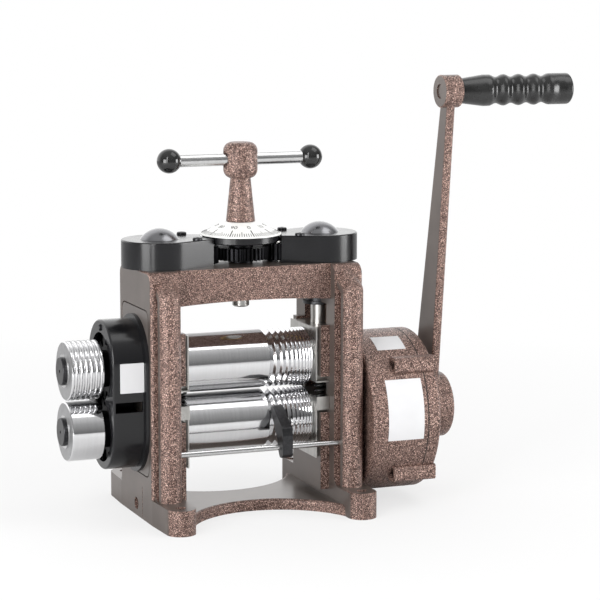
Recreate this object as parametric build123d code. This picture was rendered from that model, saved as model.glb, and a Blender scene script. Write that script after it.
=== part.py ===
from build123d import *
import os
from math import acos, atan2, cos, degrees, hypot, pi, radians, sin, sqrt, tan

# Hand-cranked jewellers rolling mill, in millimetres.
# Origin: centre of the base's underside. +X runs along the rolls towards the crank, +Y runs away
# from the person who feeds the rolls, +Z is up. The rest position is the mill as it stands.

# ---- Fits ----
running_clearance = 0.05      # radial, a journal or pin in its bore
sliding_clearance = 0.15      # each side, a bearing block in its window
seat_clearance = 1.0          # round a cover plate in its recess
free_clearance = 0.6          # between a turning part and a wall beside it
gear_backlash = 0.35          # taken off each tooth's thickness
pressure_angle = 20.0         # degrees, all gears

# ---- Rolls and side rolls ----
roll_face = 110.0
roll_diameter = 48.0          # also the side rolls'
roll_gap = 1.7                # opening between the rolls at rest
lower_roll_z = 74.0
roll_edge = 0.8               # chamfer at the ends of the rolls
neck_diameter = 26.0          # journal in the bush
wire_start_x = 16.5           # the plain face ends here, the wire grooves begin
wire_grooves = 10
first_groove_width = 5.8
last_groove_width = 1.6
groove_land = 0.5             # flat between two wire grooves
shaft_diameter = 22.0         # left end, through the gears and the side rolls
output_shaft_diameter = 24.0  # right end of the lower roll, into the gearbox
pilot_diameter = 12.0         # nose of the crank shaft in the end of the lower roll
side_roll_length = 27.2
side_roll_guard_gap = 3.3     # between the gear guard and the side rolls
shaft_end_recess = 3.0        # of the shaft's end in the side roll
half_round_grooves = 6
half_round_radius = 1.5
end_bolt_head_diameter = 23.0
end_bolt_head = 3.0
end_bolt_edge = 0.8
end_bolt_diameter = 10.0
end_bolt_length = 24.0
end_bolt_mark_diameter = 2.6  # centre mark in the head
end_bolt_mark_depth = 1.2
end_ring_diameter = 27.0
end_ring_thickness = 0.8

# ---- Bearing blocks, bushes and springs ----
block_gap = 0.3               # from a roll's face to the block beside it
block_below_roll = 32.0       # lower roll's axis to the underside of its block
block_above_roll = 19.6       # lower roll's axis to the top of its block
lower_ear_thickness = 11.1
upper_block_below_roll = 18.2
upper_block_above_roll = 27.3
upper_ear_thickness = 1.2
block_plate_thickness = 1.2
block_plate_width = 57.2
ear_width = 61.6
bush_wall = 4.5
spring_diameter = 9.4
spring_wire = 2.6
spring_turns = 4
spring_pocket_depth = 8.0
spring_y = 24.5
spring_seat_gap = 0.15
screw_pocket_depth = 5.0

# ---- Frame casting ----
base_thickness = 9.0
foot_spacing_x = 156.1
foot_spacing_y = 146.8
foot_diameter = 24.0
foot_height = 21.8
foot_web_height = 20.8
foot_edge = 0.8
bench_hole_diameter = 9.0
scallop_radius = 71.0
scallop_centre_y = 93.0
scallop_bead = 3.0            # rounding of the base's upper edge in the scallops
cheek_gap = 11.5              # from a roll's face to the cheek
cheek_thickness = 25.0
cheek_width = 83.0
cheek_corner_radius = 9.5
cheek_edge_radius = 2.5
foot_fillet = 9.0
window_width = 48.0
window_headroom = 13.2        # over the upper block, fully raised, to the nut above it
window_drop = 5.5             # window's top to the underside of the beam
beam_width = 66.0
beam_depth = 29.4
beam_rise = 2.5               # of the beam's shallow arch
pad_thickness = 7.7           # raised strips beside the window
pad_width = 62.0
lower_pad_start = 6.4         # above the base
lower_pad_above_roll = 6.3
upper_pad_below_roll = 13.3
upper_pad_above_roll = 29.5
column_diameter = 18.4
column_x = 78.7
column_out = 7.7              # a column's axis in front of the cheek's edge
column_shoulder_drop = 20.9   # from the frame's top to where a column bends back
column_top_drop = 9.9
column_top_in = 9.5           # its bent upper end behind the cheek's edge
column_lean = 2.0             # inwards, over the bent part
side_hole_diameter = 10.2
side_hole_depth = 12.0
side_hole_z = 10.0
seam_y = -16.0                # parting seam beside the hole in the left foot
seam_width = 0.8
seam_depth = 0.5
seam_bottom = 2.0
seam_top = 27.0

# ---- Cover plates in the cheeks ----
cover_width = 68.0
cover_below_window = 4.0
cover_above_window = 3.0
cover_corner_radius = 7.0
cover_thickness = 3.0
cover_block_gap = 0.5

# ---- Pressure screws and their gears ----
screw_inset = 3.5             # screw's axis behind the cheek's inner face
screw_diameter = 14.6
screw_thread_diameter = 16.0
screw_pitch = 2.0
screw_rise = 16.6             # top of the screw above the frame
nut_diameter = 24.0
nut_flange_diameter = 28.0
nut_flange = 2.5
nut_top_drop = 4.9            # top of the nut below the top of the frame
spindle_teeth = 34            # on the centre gear and on both screw gears
idler_teeth = 22
screw_gear_rise = 4.1         # underside of a gear above the frame
screw_gear_thickness = 7.0
idler_rise = 1.1
idler_thickness = 14.0
idler_pin_diameter = 8.0
idler_pin_depth = 16.0
idler_washer = 2.5            # width round the pin
idler_cap = 1.2
centre_gear_rise = 3.1
centre_gear_thickness = 10.0
centre_gear_hub = 4.0         # width round the spindle
raising_turns = 1.65          # of the screws from rest, up
lowering_turns = 0.8          # and down, until the rolls all but touch

# ---- Top guards ----
top_guard_height = 22.5
top_guard_lobe_radius = 31.2
top_guard_waist = 17.0        # half width where the front window begins
top_guard_window_x = 29.5
top_guard_wall = 3.0
top_guard_edge = 1.2
top_screw_inset = 25.7        # from a pressure screw towards the middle
top_screw_y = 20.1
top_screw_head_diameter = 8.0
top_screw_head = 2.2
top_screw_edge = 1.2
top_screw_socket = 1.4        # radius and depth of the six-sided socket
top_screw_diameter = 4.0
top_screw_depth = 14.0
top_post_diameter = 7.6
top_post_inset = 0.1          # of a post inside the guard's outer face
cap_radius = 15.9
cap_height = 8.4
cap_wall = 2.0

# ---- Adjusting handle ----
spindle_diameter = 12.0
spindle_end_depth = 6.0       # its upper end below the top of the boss
spindle_bush_wall = 3.5
spindle_nut_diameter = 14.0
spindle_nut_height = 9.2
spindle_nut_floor = 1.0
spindle_nut_edge = 1.0
dial_rim_rise = 17.3          # underside of the rim above the frame
dial_rim_height = 6.0
dial_rim_diameter = 63.0
dial_rim_edge = 0.8
dial_diameter = 66.4
dial_height = 10.5
dial_top_diameter = 25.6
dial_edge = 1.0               # upright edge of the dial below its cone
boss_height = 36.8
boss_bottom_diameter = 23.8
boss_top_diameter = 16.4
boss_edge = 0.8
hub_diameter = 28.0
hub_sink = 1.2                # the hub's lower end below the stem's top
hub_height = 29.5
hub_edge_radius = 7.0
bar_rise = 15.7               # of the bar above the hub's lower end
bar_diameter = 10.5
bar_half_length = 61.4        # from the spindle to a knob's centre
knob_diameter = 20.0
spot_face_diameter = 13.5
spot_face_depth = 1.4

# ---- Roll gears and their guard ----
roll_gear_teeth = 12
roll_gear_addendum = 2.9
roll_gear_dedendum = 5.0
roll_gear_width = 17.0
roll_gear_hub = 4.0           # width round the shaft
roll_gear_end_gap = 2.0       # between the gears and the guard's end wall
guard_depth = 29.5            # out from the cheek
guard_side_gap = 4.1          # between a gear's teeth and the guard's wall
guard_headroom = 13.2         # over the upper gear's teeth
guard_foot = 5.9              # under the lower gear's teeth
guard_wall = 3.0
guard_edge = 1.5
guard_flange_width = 3.5
guard_flange_thickness = 3.0
guard_mouth_gap = 2.5         # round the side rolls
guard_slot_height = 8.5
guard_slot_drop = 2.1         # middle of the slot below the gap between the rolls
guard_slot_start = 4.5        # from the cheek
guard_slot_end = 2.0          # from the guard's end
guard_top_screw_drop = 6.3
guard_back_screw_inset = 7.0
guard_screw_head_diameter = 5.4
guard_screw_head = 1.4
guard_screw_edge = 0.6
guard_screw_diameter = 3.0
guard_screw_depth = 10.0
guard_post_diameter = 6.0
guard_post_root = 0.5         # a post or rib runs this far into the end wall
guard_rib = 3.0               # ties a screw post to the wall of the shell

# ---- Gearbox ----
gearbox_diameter = 135.0
gearbox_wall = 5.5
gearbox_back = 6.0
gearbox_edge = 3.0
gearbox_drum_length = 49.0
gearbox_cover_length = 11.5
gearbox_cover_wall = 6.0
gearbox_lug_length = 26.0     # on the drum, up to the joint
gearbox_lug_width = 13.0
gearbox_lug_out = 0.468       # middle of a lug outside the drum's own radius
gearbox_lug_angle = 42.138    # degrees above and below the level
gearbox_bolt_diameter = 5.0
gearbox_bolt_head_diameter = 8.0
gearbox_bolt_head = 4.0
gearbox_bolt_recess = 2.5
gearbox_bolt_socket = 2.2     # radius of the six-sided socket
gearbox_bolt_socket_depth = 2.0
gearbox_bolt_end = 3.0        # of solid lug beyond a bolt's end
ring_wall = 8.0               # ring gear's pitch circle to its rim
sun_teeth = 18
planet_teeth = 18
planets = 3
gear_width = 20.0
carrier_gap = 2.5             # from the drum's back to the carrier
carrier_thickness = 8.0
carrier_rim = 10.0            # of the carrier outside the planets' pins
carrier_gear_gap = 3.0
planet_pin_diameter = 10.0
planet_pin_end = 1.5          # of the pin beyond its gear
planet_washer = 2.5           # width round the pin
shaft_bearing_outer_diameter = 42.0
crank_bearing_outer_diameter = 36.0
crank_bearing_length = 14.0
bearing_seat_wall = 5.0
mount_screw_y = 29.5
mount_screw_z = 17.0          # above and below the lower roll's axis
mount_screw_diameter = 6.0
mount_screw_head_diameter = 11.0
mount_screw_depth = 14.0

# ---- Crank ----
crank_shaft_diameter = 18.0
crank_hub_diameter = 55.6
crank_hub_length = 30.9
crank_hub_edge = 3.0
crank_arm_start = 10.5        # from the hub's inner face
crank_arm_thickness = 7.4
crank_arm_root = 8.0          # the arm's flanks start this far above the shaft
crank_arm_root_width = 38.0
crank_arm_tip_width = 14.6
crank_arm_tip_gap = 4.0       # and end this far below the eye's middle
crank_arm_edge = 2.4
crank_throw = 273.5
crank_lean = 9.13             # degrees towards the user at rest
eye_diameter = 27.0
eye_length = 16.3
eye_edge = 1.0
eye_recess_diameter = 12.0
eye_recess_depth = 3.0
grip_bolt_diameter = 9.0
grip_bolt_head_diameter = 11.0
grip_bolt_head = 2.0
grip_bolt_cover = 13.0        # of solid grip beyond the bolt's end
hub_screw_diameter = 8.0
hub_screw_head_diameter = 22.0
hub_screw_head = 2.5
hub_screw_socket = 4.0        # radius of the six-sided socket
hub_screw_socket_depth = 1.8
hub_recess_depth = 2.5
hub_recess_diameter = 24.0
hub_screw_length = 18.0
grip_gap = 0.4
grip_length = 101.0
grip_start_diameter = 20.0
grip_diameter = 26.0
grip_swell = 22.0             # from the eye end to the first full diameter
grip_first_groove = 34.0      # from the eye end to the first finger groove's middle
grip_groove_spacing = 14.1
grip_grooves = 4
grip_groove_depth = 2.6
grip_end_radius = 2.2

# ---- Wire guide ----
rod_diameter = 4.8
rod_cheek_gap = 0.1           # the rod runs this far in front of the cheeks
rod_below_roll = 17.0
rod_seat_depth = 4.5          # end of its hole beyond the column's near side
finger_x = 22.2
finger_width = 8.8
finger_thickness = 5.6
finger_edge = 1.2
finger_eye_radius = 6.2
finger_tail = 8.6             # below the rod
finger_tail_front = 3.0       # flat end of the tail, in front of the rod
finger_tail_back = 1.0        # and behind it
finger_tail_bevel = 3.0       # height of the tail's front bevel
finger_back_rise = 5.0        # straight back of the eye above the rod
finger_bend_drop = 2.0        # the front turns this far below the bend
finger_bend = 12.0            # above the rod
finger_roll_gap = 0.1         # tip's middle in front of the lower roll
finger_tip_rise = 13.0        # above the lower roll's axis


# ---- Places that follow from the sizes above ----
roll_radius = roll_diameter / 2
upper_roll_z = lower_roll_z + roll_diameter + roll_gap
nip_z = (lower_roll_z + upper_roll_z) / 2
half_face = roll_face / 2
neck_radius = neck_diameter / 2
shaft_radius = shaft_diameter / 2
bush_radius = neck_radius + running_clearance + bush_wall
opening_up = raising_turns * screw_pitch
opening_down = lowering_turns * screw_pitch

cheek_inner_x = half_face + cheek_gap
cheek_outer_x = cheek_inner_x + cheek_thickness
cover_inner_x = cheek_outer_x - cover_thickness
pad_inner_x = cheek_inner_x - pad_thickness
block_inner_x = half_face + block_gap
block_outer_x = cover_inner_x - cover_block_gap
ear_outer_x = cheek_inner_x - free_clearance / 2
column_radius = column_diameter / 2
column_y = cheek_width / 2 + column_out
column_top_y = cheek_width / 2 - column_top_in
foot_radius = foot_diameter / 2
foot_x = foot_spacing_x / 2
foot_y = foot_spacing_y / 2

lower_block_bottom = lower_roll_z - block_below_roll
lower_block_top = lower_roll_z + block_above_roll
upper_block_bottom = upper_roll_z - upper_block_below_roll
upper_block_top = upper_roll_z + upper_block_above_roll
window_bottom = lower_block_bottom
window_top = upper_block_top + opening_up + window_headroom + nut_flange
beam_end_z = window_top + window_drop
beam_middle_z = beam_end_z + beam_rise
frame_height = beam_end_z + beam_depth
column_shoulder_z = frame_height - column_shoulder_drop
column_top_z = frame_height - column_top_drop
cover_bottom = window_bottom - cover_below_window
cover_top = window_top + cover_above_window
spring_x = (block_inner_x + ear_outer_x) / 2
spring_bottom = lower_block_top - spring_pocket_depth

screw_x = cheek_inner_x + screw_inset
nut_top = frame_height - nut_top_drop
screw_gear_bottom = frame_height + screw_gear_rise
idler_bottom = frame_height + idler_rise
centre_gear_bottom = frame_height + centre_gear_rise
top_guard_top = frame_height + top_guard_height
top_screw_x = screw_x - top_screw_inset
top_module = 2 * screw_x / (2 * spindle_teeth + 2 * idler_teeth)
spindle_gear_radius = top_module * spindle_teeth / 2
idler_x = spindle_gear_radius + top_module * idler_teeth / 2

spindle_radius = spindle_diameter / 2
spindle_nut_bottom = beam_middle_z - free_clearance / 2 - spindle_nut_height
dial_rim_bottom = frame_height + dial_rim_rise
dial_base_z = dial_rim_bottom + dial_rim_height
dial_top_z = dial_base_z + dial_height
boss_top_z = dial_top_z + boss_height
spindle_top_z = boss_top_z - spindle_end_depth
hub_bottom = boss_top_z - hub_sink
hub_top = hub_bottom + hub_height
bar_z = hub_bottom + bar_rise
spot_face_x = hub_diameter / 2 - spot_face_depth

roll_gear_module = roll_diameter / roll_gear_teeth
roll_gear_tip = roll_radius + roll_gear_addendum
guard_outer_x = cheek_outer_x + guard_depth
roll_gear_outer_x = guard_outer_x - guard_wall - roll_gear_end_gap
roll_gear_inner_x = roll_gear_outer_x - roll_gear_width
guard_half_width = roll_gear_tip + guard_side_gap + guard_wall
guard_bottom = lower_roll_z - roll_gear_tip - guard_foot
guard_top = upper_roll_z + roll_gear_tip + guard_headroom
guard_mouth_radius = roll_radius + guard_mouth_gap
guard_slot_z = nip_z - guard_slot_drop
side_roll_inner_x = guard_outer_x + side_roll_guard_gap
side_roll_outer_x = side_roll_inner_x + side_roll_length

gearbox_radius = gearbox_diameter / 2
cavity_radius = gearbox_radius - gearbox_wall
gearbox_cavity_x = cheek_outer_x + gearbox_back
gearbox_joint_x = cheek_outer_x + gearbox_drum_length
gearbox_outer_x = gearbox_joint_x + gearbox_cover_length
gearbox_lug_x = gearbox_joint_x - gearbox_lug_length
gearbox_bolt_end_x = gearbox_outer_x - gearbox_bolt_end
ring_teeth = sun_teeth + 2 * planet_teeth
gear_module = 2 * (cavity_radius - ring_wall) / ring_teeth
planet_orbit = gear_module * (sun_teeth + planet_teeth) / 2
carrier_radius = planet_orbit + carrier_rim
carrier_start_x = gearbox_cavity_x + carrier_gap
carrier_end_x = carrier_start_x + carrier_thickness
gear_start_x = carrier_end_x + carrier_gear_gap
gear_end_x = gear_start_x + gear_width
crank_bearing_start_x = gearbox_outer_x - crank_bearing_length

crank_radius = crank_shaft_diameter / 2
crank_hub_inner_x = gearbox_outer_x + free_clearance
crank_hub_outer_x = crank_hub_inner_x + crank_hub_length
crank_arm_inner_x = crank_hub_inner_x + crank_arm_start
eye_inner_x = crank_arm_inner_x + crank_arm_thickness / 2 - eye_length / 2
eye_outer_x = eye_inner_x + eye_length
grip_start_x = eye_outer_x + grip_gap
grip_end_x = grip_start_x + grip_length
grip_bolt_end_x = grip_end_x - grip_bolt_cover

rod_y = -cheek_width / 2 - rod_cheek_gap - rod_diameter / 2
rod_z = lower_roll_z - rod_below_roll
rod_seat_x = column_x - column_radius + rod_seat_depth
finger_tail_z = rod_z - finger_tail
finger_tip_y = -roll_radius - finger_roll_gap
finger_tip_z = lower_roll_z + finger_tip_rise


# ---- Simple shapes ----
def box(x0, x1, y0, y1, z0, z1):
    return Pos((x0 + x1) / 2, (y0 + y1) / 2, (z0 + z1) / 2) * Box(x1 - x0, y1 - y0, z1 - z0)


def rod_x(radius, x0, x1, y=0.0, z=0.0):
    along = (Align.CENTER, Align.CENTER, Align.MIN)
    return Pos(x0, y, z) * Rot(0, 90, 0) * Cylinder(radius, x1 - x0, align=along)


def rod_z_axis(radius, z0, z1, x=0.0, y=0.0):
    along = (Align.CENTER, Align.CENTER, Align.MIN)
    return Pos(x, y, z0) * Cylinder(radius, z1 - z0, align=along)


def tube_x(outer, inner, x0, x1, y=0.0, z=0.0):
    return rod_x(outer, x0, x1, y, z) - rod_x(inner, x0 - 1, x1 + 1, y, z)


def tube_z(outer, inner, z0, z1, x=0.0, y=0.0):
    return rod_z_axis(outer, z0, z1, x, y) - rod_z_axis(inner, z0 - 1, z1 + 1, x, y)


def turned_x(points, z):
    """A solid turned about the line along X at height z, from (x, radius) points."""
    outline = Plane.XZ * make_face(Polyline(*points, close=True))
    return Pos(0, 0, z) * revolve(outline, Axis.X)


def turned_z(points, x=0.0):
    """A solid turned about the upright line at x, from (radius, z) points."""
    outline = Plane.XZ * make_face(Polyline(*points, close=True))
    return Pos(x, 0, 0) * revolve(outline, Axis.Z)


def end_face_edges(solid, axis, last=True):
    """The outline edges of the solid's last (or first) face along an axis."""
    faces = solid.faces().sort_by(axis)
    face = faces[-1] if last else faces[0]
    return face.outer_wire().edges()


def both_sides(make):
    """What make(side) gives for the left (-1) and right (+1) side, as separate solids."""
    return Compound(children=[make(-1), make(1)])


def mirror_x(shape):
    return mirror(shape, about=Plane.YZ)


def write(name, shape):
    os.makedirs("parts", exist_ok=True)
    export_step(shape, "parts/" + name + ".step")


# ---- Gears ----
def involute(angle):
    return tan(angle) - angle


def tooth_half_angle(radius, pitch_radius, teeth, thinning):
    """Half the angle that a tooth takes up at a radius, for an involute flank."""
    base_radius = pitch_radius * cos(radians(pressure_angle))
    at_pitch = pi / (2 * teeth) - thinning / (2 * pitch_radius)
    beyond = acos(base_radius / max(radius, base_radius))
    return at_pitch + involute(radians(pressure_angle)) - involute(beyond)


def gear_outline(teeth, module, addendum, dedendum, thinning, first_tooth):
    """A gear's flat outline: each flank runs through its root, its middle and its tip."""
    pitch_radius = module * teeth / 2
    root = pitch_radius - dedendum
    tip = pitch_radius + addendum
    base = pitch_radius * cos(radians(pressure_angle))
    flank = [root, max(root + 0.1, (max(root, base) + tip) / 2), tip]
    if root < base:
        flank.insert(1, base)
    points = []
    for tooth in range(teeth):
        middle = radians(first_tooth) + 2 * pi * tooth / teeth
        for side, radii in ((-1, flank), (1, flank[::-1])):
            for radius in radii:
                angle = middle + side * tooth_half_angle(radius, pitch_radius, teeth, thinning)
                points.append((radius * cos(angle), radius * sin(angle)))
    return make_face(Polyline(*points, close=True))


def gear_x(outline, x0, width, y=0.0, z=0.0):
    return Pos(0, y, z) * extrude(Plane.YZ.offset(x0) * outline, width)


def gear_z(outline, z0, thickness, x=0.0):
    return extrude(Pos(x, 0, z0) * outline, thickness)


# ---- Frame casting ----
def foot_block(side):
    """One side's foot: the web under the cheek, drawn in to a round foot at each end."""
    plan = []
    for y in (-foot_y, foot_y):
        plan += (Pos(side * foot_x, y) * Circle(foot_radius)).edges()
    middle = (cheek_inner_x + cheek_outer_x) / 2
    plan += (Pos(side * middle, 0) * Rectangle(cheek_outer_x - cheek_inner_x, cheek_width)).edges()
    web = extrude(make_hull(plan), foot_web_height)
    for y in (-foot_y, foot_y):
        foot = rod_z_axis(foot_radius, 0, foot_height, side * foot_x, y)
        web += chamfer(end_face_edges(foot, Axis.Z), foot_edge)
    return web


def cheek(side):
    """One upright side wall, with rounded top corners and flared feet."""
    half = cheek_width / 2
    outline = Pos(0, frame_height / 2) * Rectangle(cheek_width, frame_height)
    corners = outline.vertices().group_by(Axis.Y)[-1]
    outline = fillet(corners, cheek_corner_radius)
    wall = extrude(Plane.YZ.offset(cheek_inner_x) * outline, cheek_outer_x - cheek_inner_x)
    wall = fillet(end_face_edges(wall, Axis.X), cheek_edge_radius)
    for sign in (-1, 1):
        inner, outer = sorted((sign * half, sign * (half + foot_fillet)))
        web = box(cheek_inner_x, cheek_outer_x - cheek_edge_radius, inner, outer,
                  foot_web_height - 1, foot_web_height + foot_fillet)
        round_cut = rod_x(foot_fillet, cheek_inner_x - 1, cheek_outer_x + 1,
                          sign * (half + foot_fillet), foot_web_height + foot_fillet)
        wall += web - round_cut
    return wall if side > 0 else mirror_x(wall)


def column(side, end):
    """A round column that bends back under the top at its upper end."""
    low = Vector(side * column_x, end * column_y, foot_web_height - 1)
    shoulder = Vector(side * column_x, end * column_y, column_shoulder_z)
    top = Vector(side * (column_x - column_lean), end * column_top_y, column_top_z)
    shaft = rod_z_axis(column_radius, low.Z, shoulder.Z, low.X, low.Y)
    elbow = Pos(*shoulder) * Sphere(column_radius)
    lean = top - shoulder
    neck = Plane(origin=shoulder, z_dir=lean) * Cylinder(
        column_radius, lean.length, align=(Align.CENTER, Align.CENTER, Align.MIN))
    return shaft + elbow + neck


def window_strips(side):
    """The raised strips on each side of the window, open between the bearing blocks."""
    half = pad_width / 2
    inner, outer = sorted((side * pad_inner_x, side * (cheek_inner_x + 1)))
    lower = box(inner, outer, -half, half, base_thickness + lower_pad_start,
                lower_roll_z + lower_pad_above_roll)
    upper = box(inner, outer, -half, half, upper_roll_z - upper_pad_below_roll,
                upper_roll_z + upper_pad_above_roll)
    return lower + upper


def cover_outline(margin):
    width = cover_width + 2 * margin
    height = cover_top - cover_bottom + 2 * margin
    middle = (cover_top + cover_bottom) / 2
    return Pos(0, middle) * RectangleRounded(width, height, cover_corner_radius + margin)


def beam():
    half = cheek_inner_x + 1
    arch = ThreePointArc((-half, beam_end_z), (0, beam_middle_z), (half, beam_end_z))
    sides = Polyline((half, beam_end_z), (half, frame_height), (-half, frame_height),
                     (-half, beam_end_z))
    outline = Plane.XZ.offset(-beam_width / 2) * make_face(arch + sides)
    return extrude(outline, beam_width)


def base_plate():
    """The plate between the cheeks, scalloped front and back with a rounded upper edge."""
    half = (cheek_inner_x + cheek_outer_x) / 2
    plate = box(-half, half, -foot_y, foot_y, 0, base_thickness)
    for end in (-1, 1):
        plate -= rod_z_axis(scallop_radius, -1, base_thickness + 1, 0, end * scallop_centre_y)
    scallops = plate.faces().sort_by(Axis.Z)[-1].edges().filter_by(GeomType.CIRCLE)
    return fillet(scallops, scallop_bead)


def frame_casting():
    half_hole = bench_hole_diameter / 2
    body = base_plate() + beam()
    for side in (-1, 1):
        body += foot_block(side) + cheek(side) + window_strips(side)
        for end in (-1, 1):
            body += column(side, end)
    for side in (-1, 1):
        inner, outer = sorted((side * (pad_inner_x - 1), side * (cheek_outer_x + 1)))
        body -= box(inner, outer, -window_width / 2, window_width / 2, window_bottom, window_top)
        recess = extrude(Plane.YZ.offset(cover_inner_x) * cover_outline(seat_clearance),
                         cover_thickness + 1)
        body -= recess if side > 0 else mirror_x(recess)
        body -= rod_z_axis(nut_diameter / 2 + running_clearance, window_top - 1,
                           frame_height + 1, side * screw_x)
        body -= rod_z_axis(idler_pin_diameter / 2, frame_height - idler_pin_depth,
                           frame_height + 1, side * idler_x)
        seat, tip = sorted((side * (column_x - column_radius - 1), side * rod_seat_x))
        body -= rod_x(rod_diameter / 2 + running_clearance, seat, tip, rod_y, rod_z)
        for end in (-1, 1):
            body -= rod_z_axis(half_hole, -1, foot_height + 1, side * foot_x, end * foot_y)
            body -= rod_z_axis(top_screw_diameter / 2, frame_height - top_screw_depth,
                               frame_height + 1, side * top_screw_x, end * top_screw_y)
    body -= rod_z_axis(spindle_radius + running_clearance + spindle_bush_wall, beam_end_z - 1,
                       frame_height + 1)
    for y, z in guard_screw_places():
        body -= guard_screw_hole(y, z, cheek_outer_x - guard_screw_depth)
    for y, z in mount_screw_places():
        body -= rod_x(mount_screw_diameter / 2, cheek_outer_x - mount_screw_depth,
                      cheek_outer_x + 1, y, z)
    body -= box(-cheek_outer_x - 1, -cheek_outer_x + seam_depth, seam_y - seam_width / 2,
                seam_y + seam_width / 2, seam_bottom, seam_top)
    return body - rod_x(side_hole_diameter / 2, -cheek_outer_x - 1,
                        -cheek_outer_x + side_hole_depth, 0, side_hole_z)


def side_cover(side):
    """The flat plate that closes a cheek's window, with holes for the roll ends."""
    plate = extrude(Plane.YZ.offset(cover_inner_x) * cover_outline(0), cover_thickness)
    x0, x1 = cover_inner_x - 1, cheek_outer_x + 1
    radius = neck_radius + free_clearance
    plate -= rod_x(radius, x0, x1, 0, lower_roll_z)
    if side < 0:
        low, high = upper_roll_z - opening_down, upper_roll_z + opening_up
        plate -= rod_x(radius, x0, x1, 0, low) + rod_x(radius, x0, x1, 0, high)
        plate -= box(x0, x1, -radius, radius, low, high)
        plate = mirror_x(plate)
        for y, z in guard_screw_places():
            plate -= guard_screw_hole(y, z, x0)
    else:
        for y, z in mount_screw_places():
            plate -= rod_x(mount_screw_diameter / 2 + free_clearance / 4, x0, x1, y, z)
    return plate


# ---- Bearing blocks ----
def block(side, bottom, top, ear_bottom, ear_top, roll_z):
    """A bearing block: a body in the window, a plate against the strips and a spring ear."""
    half_window = window_width / 2 - sliding_clearance
    body = box(block_inner_x, block_outer_x, -half_window, half_window, bottom, top)
    half_plate = block_plate_width / 2
    body += box(block_inner_x, block_inner_x + block_plate_thickness, -half_plate, half_plate,
                bottom, top)
    half_ear = ear_width / 2
    body += box(block_inner_x, ear_outer_x, -half_ear, half_ear, ear_bottom, ear_top)
    body -= rod_x(bush_radius, block_inner_x - 1, block_outer_x + 1, 0, roll_z)
    return body


def lower_bearing_blocks():
    def make(side):
        body = block(side, lower_block_bottom, lower_block_top,
                     lower_block_top - lower_ear_thickness, lower_block_top, lower_roll_z)
        for y in (-spring_y, spring_y):
            body -= rod_z_axis(spring_diameter / 2 + sliding_clearance, spring_bottom,
                               lower_block_top + 1, spring_x, y)
        return body if side > 0 else mirror_x(body)
    return both_sides(make)


def upper_bearing_blocks():
    def make(side):
        body = block(side, upper_block_bottom, upper_block_top, upper_block_bottom,
                     upper_block_bottom + upper_ear_thickness, upper_roll_z)
        body -= rod_z_axis(screw_diameter / 2 + sliding_clearance,
                           upper_block_top - screw_pocket_depth, upper_block_top + 1, screw_x)
        return body if side > 0 else mirror_x(body)
    return both_sides(make)


def bushes(roll_z):
    def make(side):
        ring = tube_x(bush_radius, neck_radius + running_clearance, block_inner_x,
                      block_outer_x, 0, roll_z)
        return ring if side > 0 else mirror_x(ring)
    return both_sides(make)


def joined_arcs(start, start_way, end, end_way):
    """Two arcs from start to end that leave and arrive along the given directions."""
    way = end - start
    both = start_way + end_way
    spread = 2 * (1 - start_way.dot(end_way))
    reach = way.dot(both)
    length = (sqrt(reach * reach + spread * way.dot(way)) - reach) / spread
    middle = (start + end + (start_way - end_way) * length) * 0.5
    first = TangentArc(start, middle, tangent=start_way)
    return [first, TangentArc(middle, end, tangent=first % 1)]


def spring_height():
    return upper_block_bottom - spring_bottom - 2 * spring_seat_gap


def coil_spring(x, y):
    """A coil spring of round wire, wound on quarter-turn arcs."""
    coil_radius = (spring_diameter - spring_wire) / 2
    rise = spring_height() - spring_wire
    steps = 4 * spring_turns
    slope = Vector(0, coil_radius, rise / (2 * pi * spring_turns)).normalized()

    def at(step):
        turn = pi / 2 * step
        z = spring_bottom + spring_seat_gap + spring_wire / 2 + rise * step / steps
        place = Vector(x + coil_radius * cos(turn), y + coil_radius * sin(turn), z)
        return place, Vector(-sin(turn) * slope.Y, cos(turn) * slope.Y, slope.Z)

    arcs = []
    for step in range(steps):
        arcs += joined_arcs(*at(step), *at(step + 1))
    path = Wire([arc.edge() for arc in arcs])
    start, way = at(0)
    section = Plane(origin=start, z_dir=way) * Circle(spring_wire / 2)
    return sweep(section, path=path)


def print_spring_gap():
    """Measures the least gap between a spring's turns on points along its centre line."""
    coil_radius = (spring_diameter - spring_wire) / 2
    rise = spring_height() - spring_wire
    points = []
    for step in range(48 * spring_turns + 1):
        turn = 2 * pi * step / 48
        points.append((coil_radius * cos(turn), coil_radius * sin(turn),
                       rise * step / (48 * spring_turns)))
    least = min(hypot(a[0] - b[0], a[1] - b[1], a[2] - b[2])
                for number, a in enumerate(points) for b in points[number + 24:])
    print("least gap of a spring to itself", round(least - spring_wire, 2), "mm")


def return_springs():
    springs = []
    for x in (-spring_x, spring_x):
        for y in (-spring_y, spring_y):
            springs.append(coil_spring(x, y))
    return Compound(children=springs)


# ---- Rolls ----
def wire_groove_widths():
    """The wire grooves' widths, each smaller than the last by the same share."""
    share = (last_groove_width / first_groove_width) ** (1 / (wire_grooves - 1))
    return [first_groove_width * share ** number for number in range(wire_grooves)]


def roll_outline(right_end):
    """The roll's outline as (x, radius) points, without its right-hand journal."""
    shaft_end_x = -side_roll_outer_x + shaft_end_recess
    points = [(shaft_end_x, 0), (shaft_end_x, shaft_radius)]
    points += [(-block_outer_x, shaft_radius), (-block_outer_x, neck_radius)]
    points += [(-half_face, neck_radius), (-half_face, roll_radius - roll_edge)]
    points += [(-half_face + roll_edge, roll_radius)]
    x = wire_start_x
    for width in wire_groove_widths():
        points += [(x, roll_radius), (x + width / 2, roll_radius - width / 2),
                   (x + width, roll_radius)]
        x += width + groove_land
    points += [(half_face, roll_radius), (half_face, neck_radius)]
    return points + right_end


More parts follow.
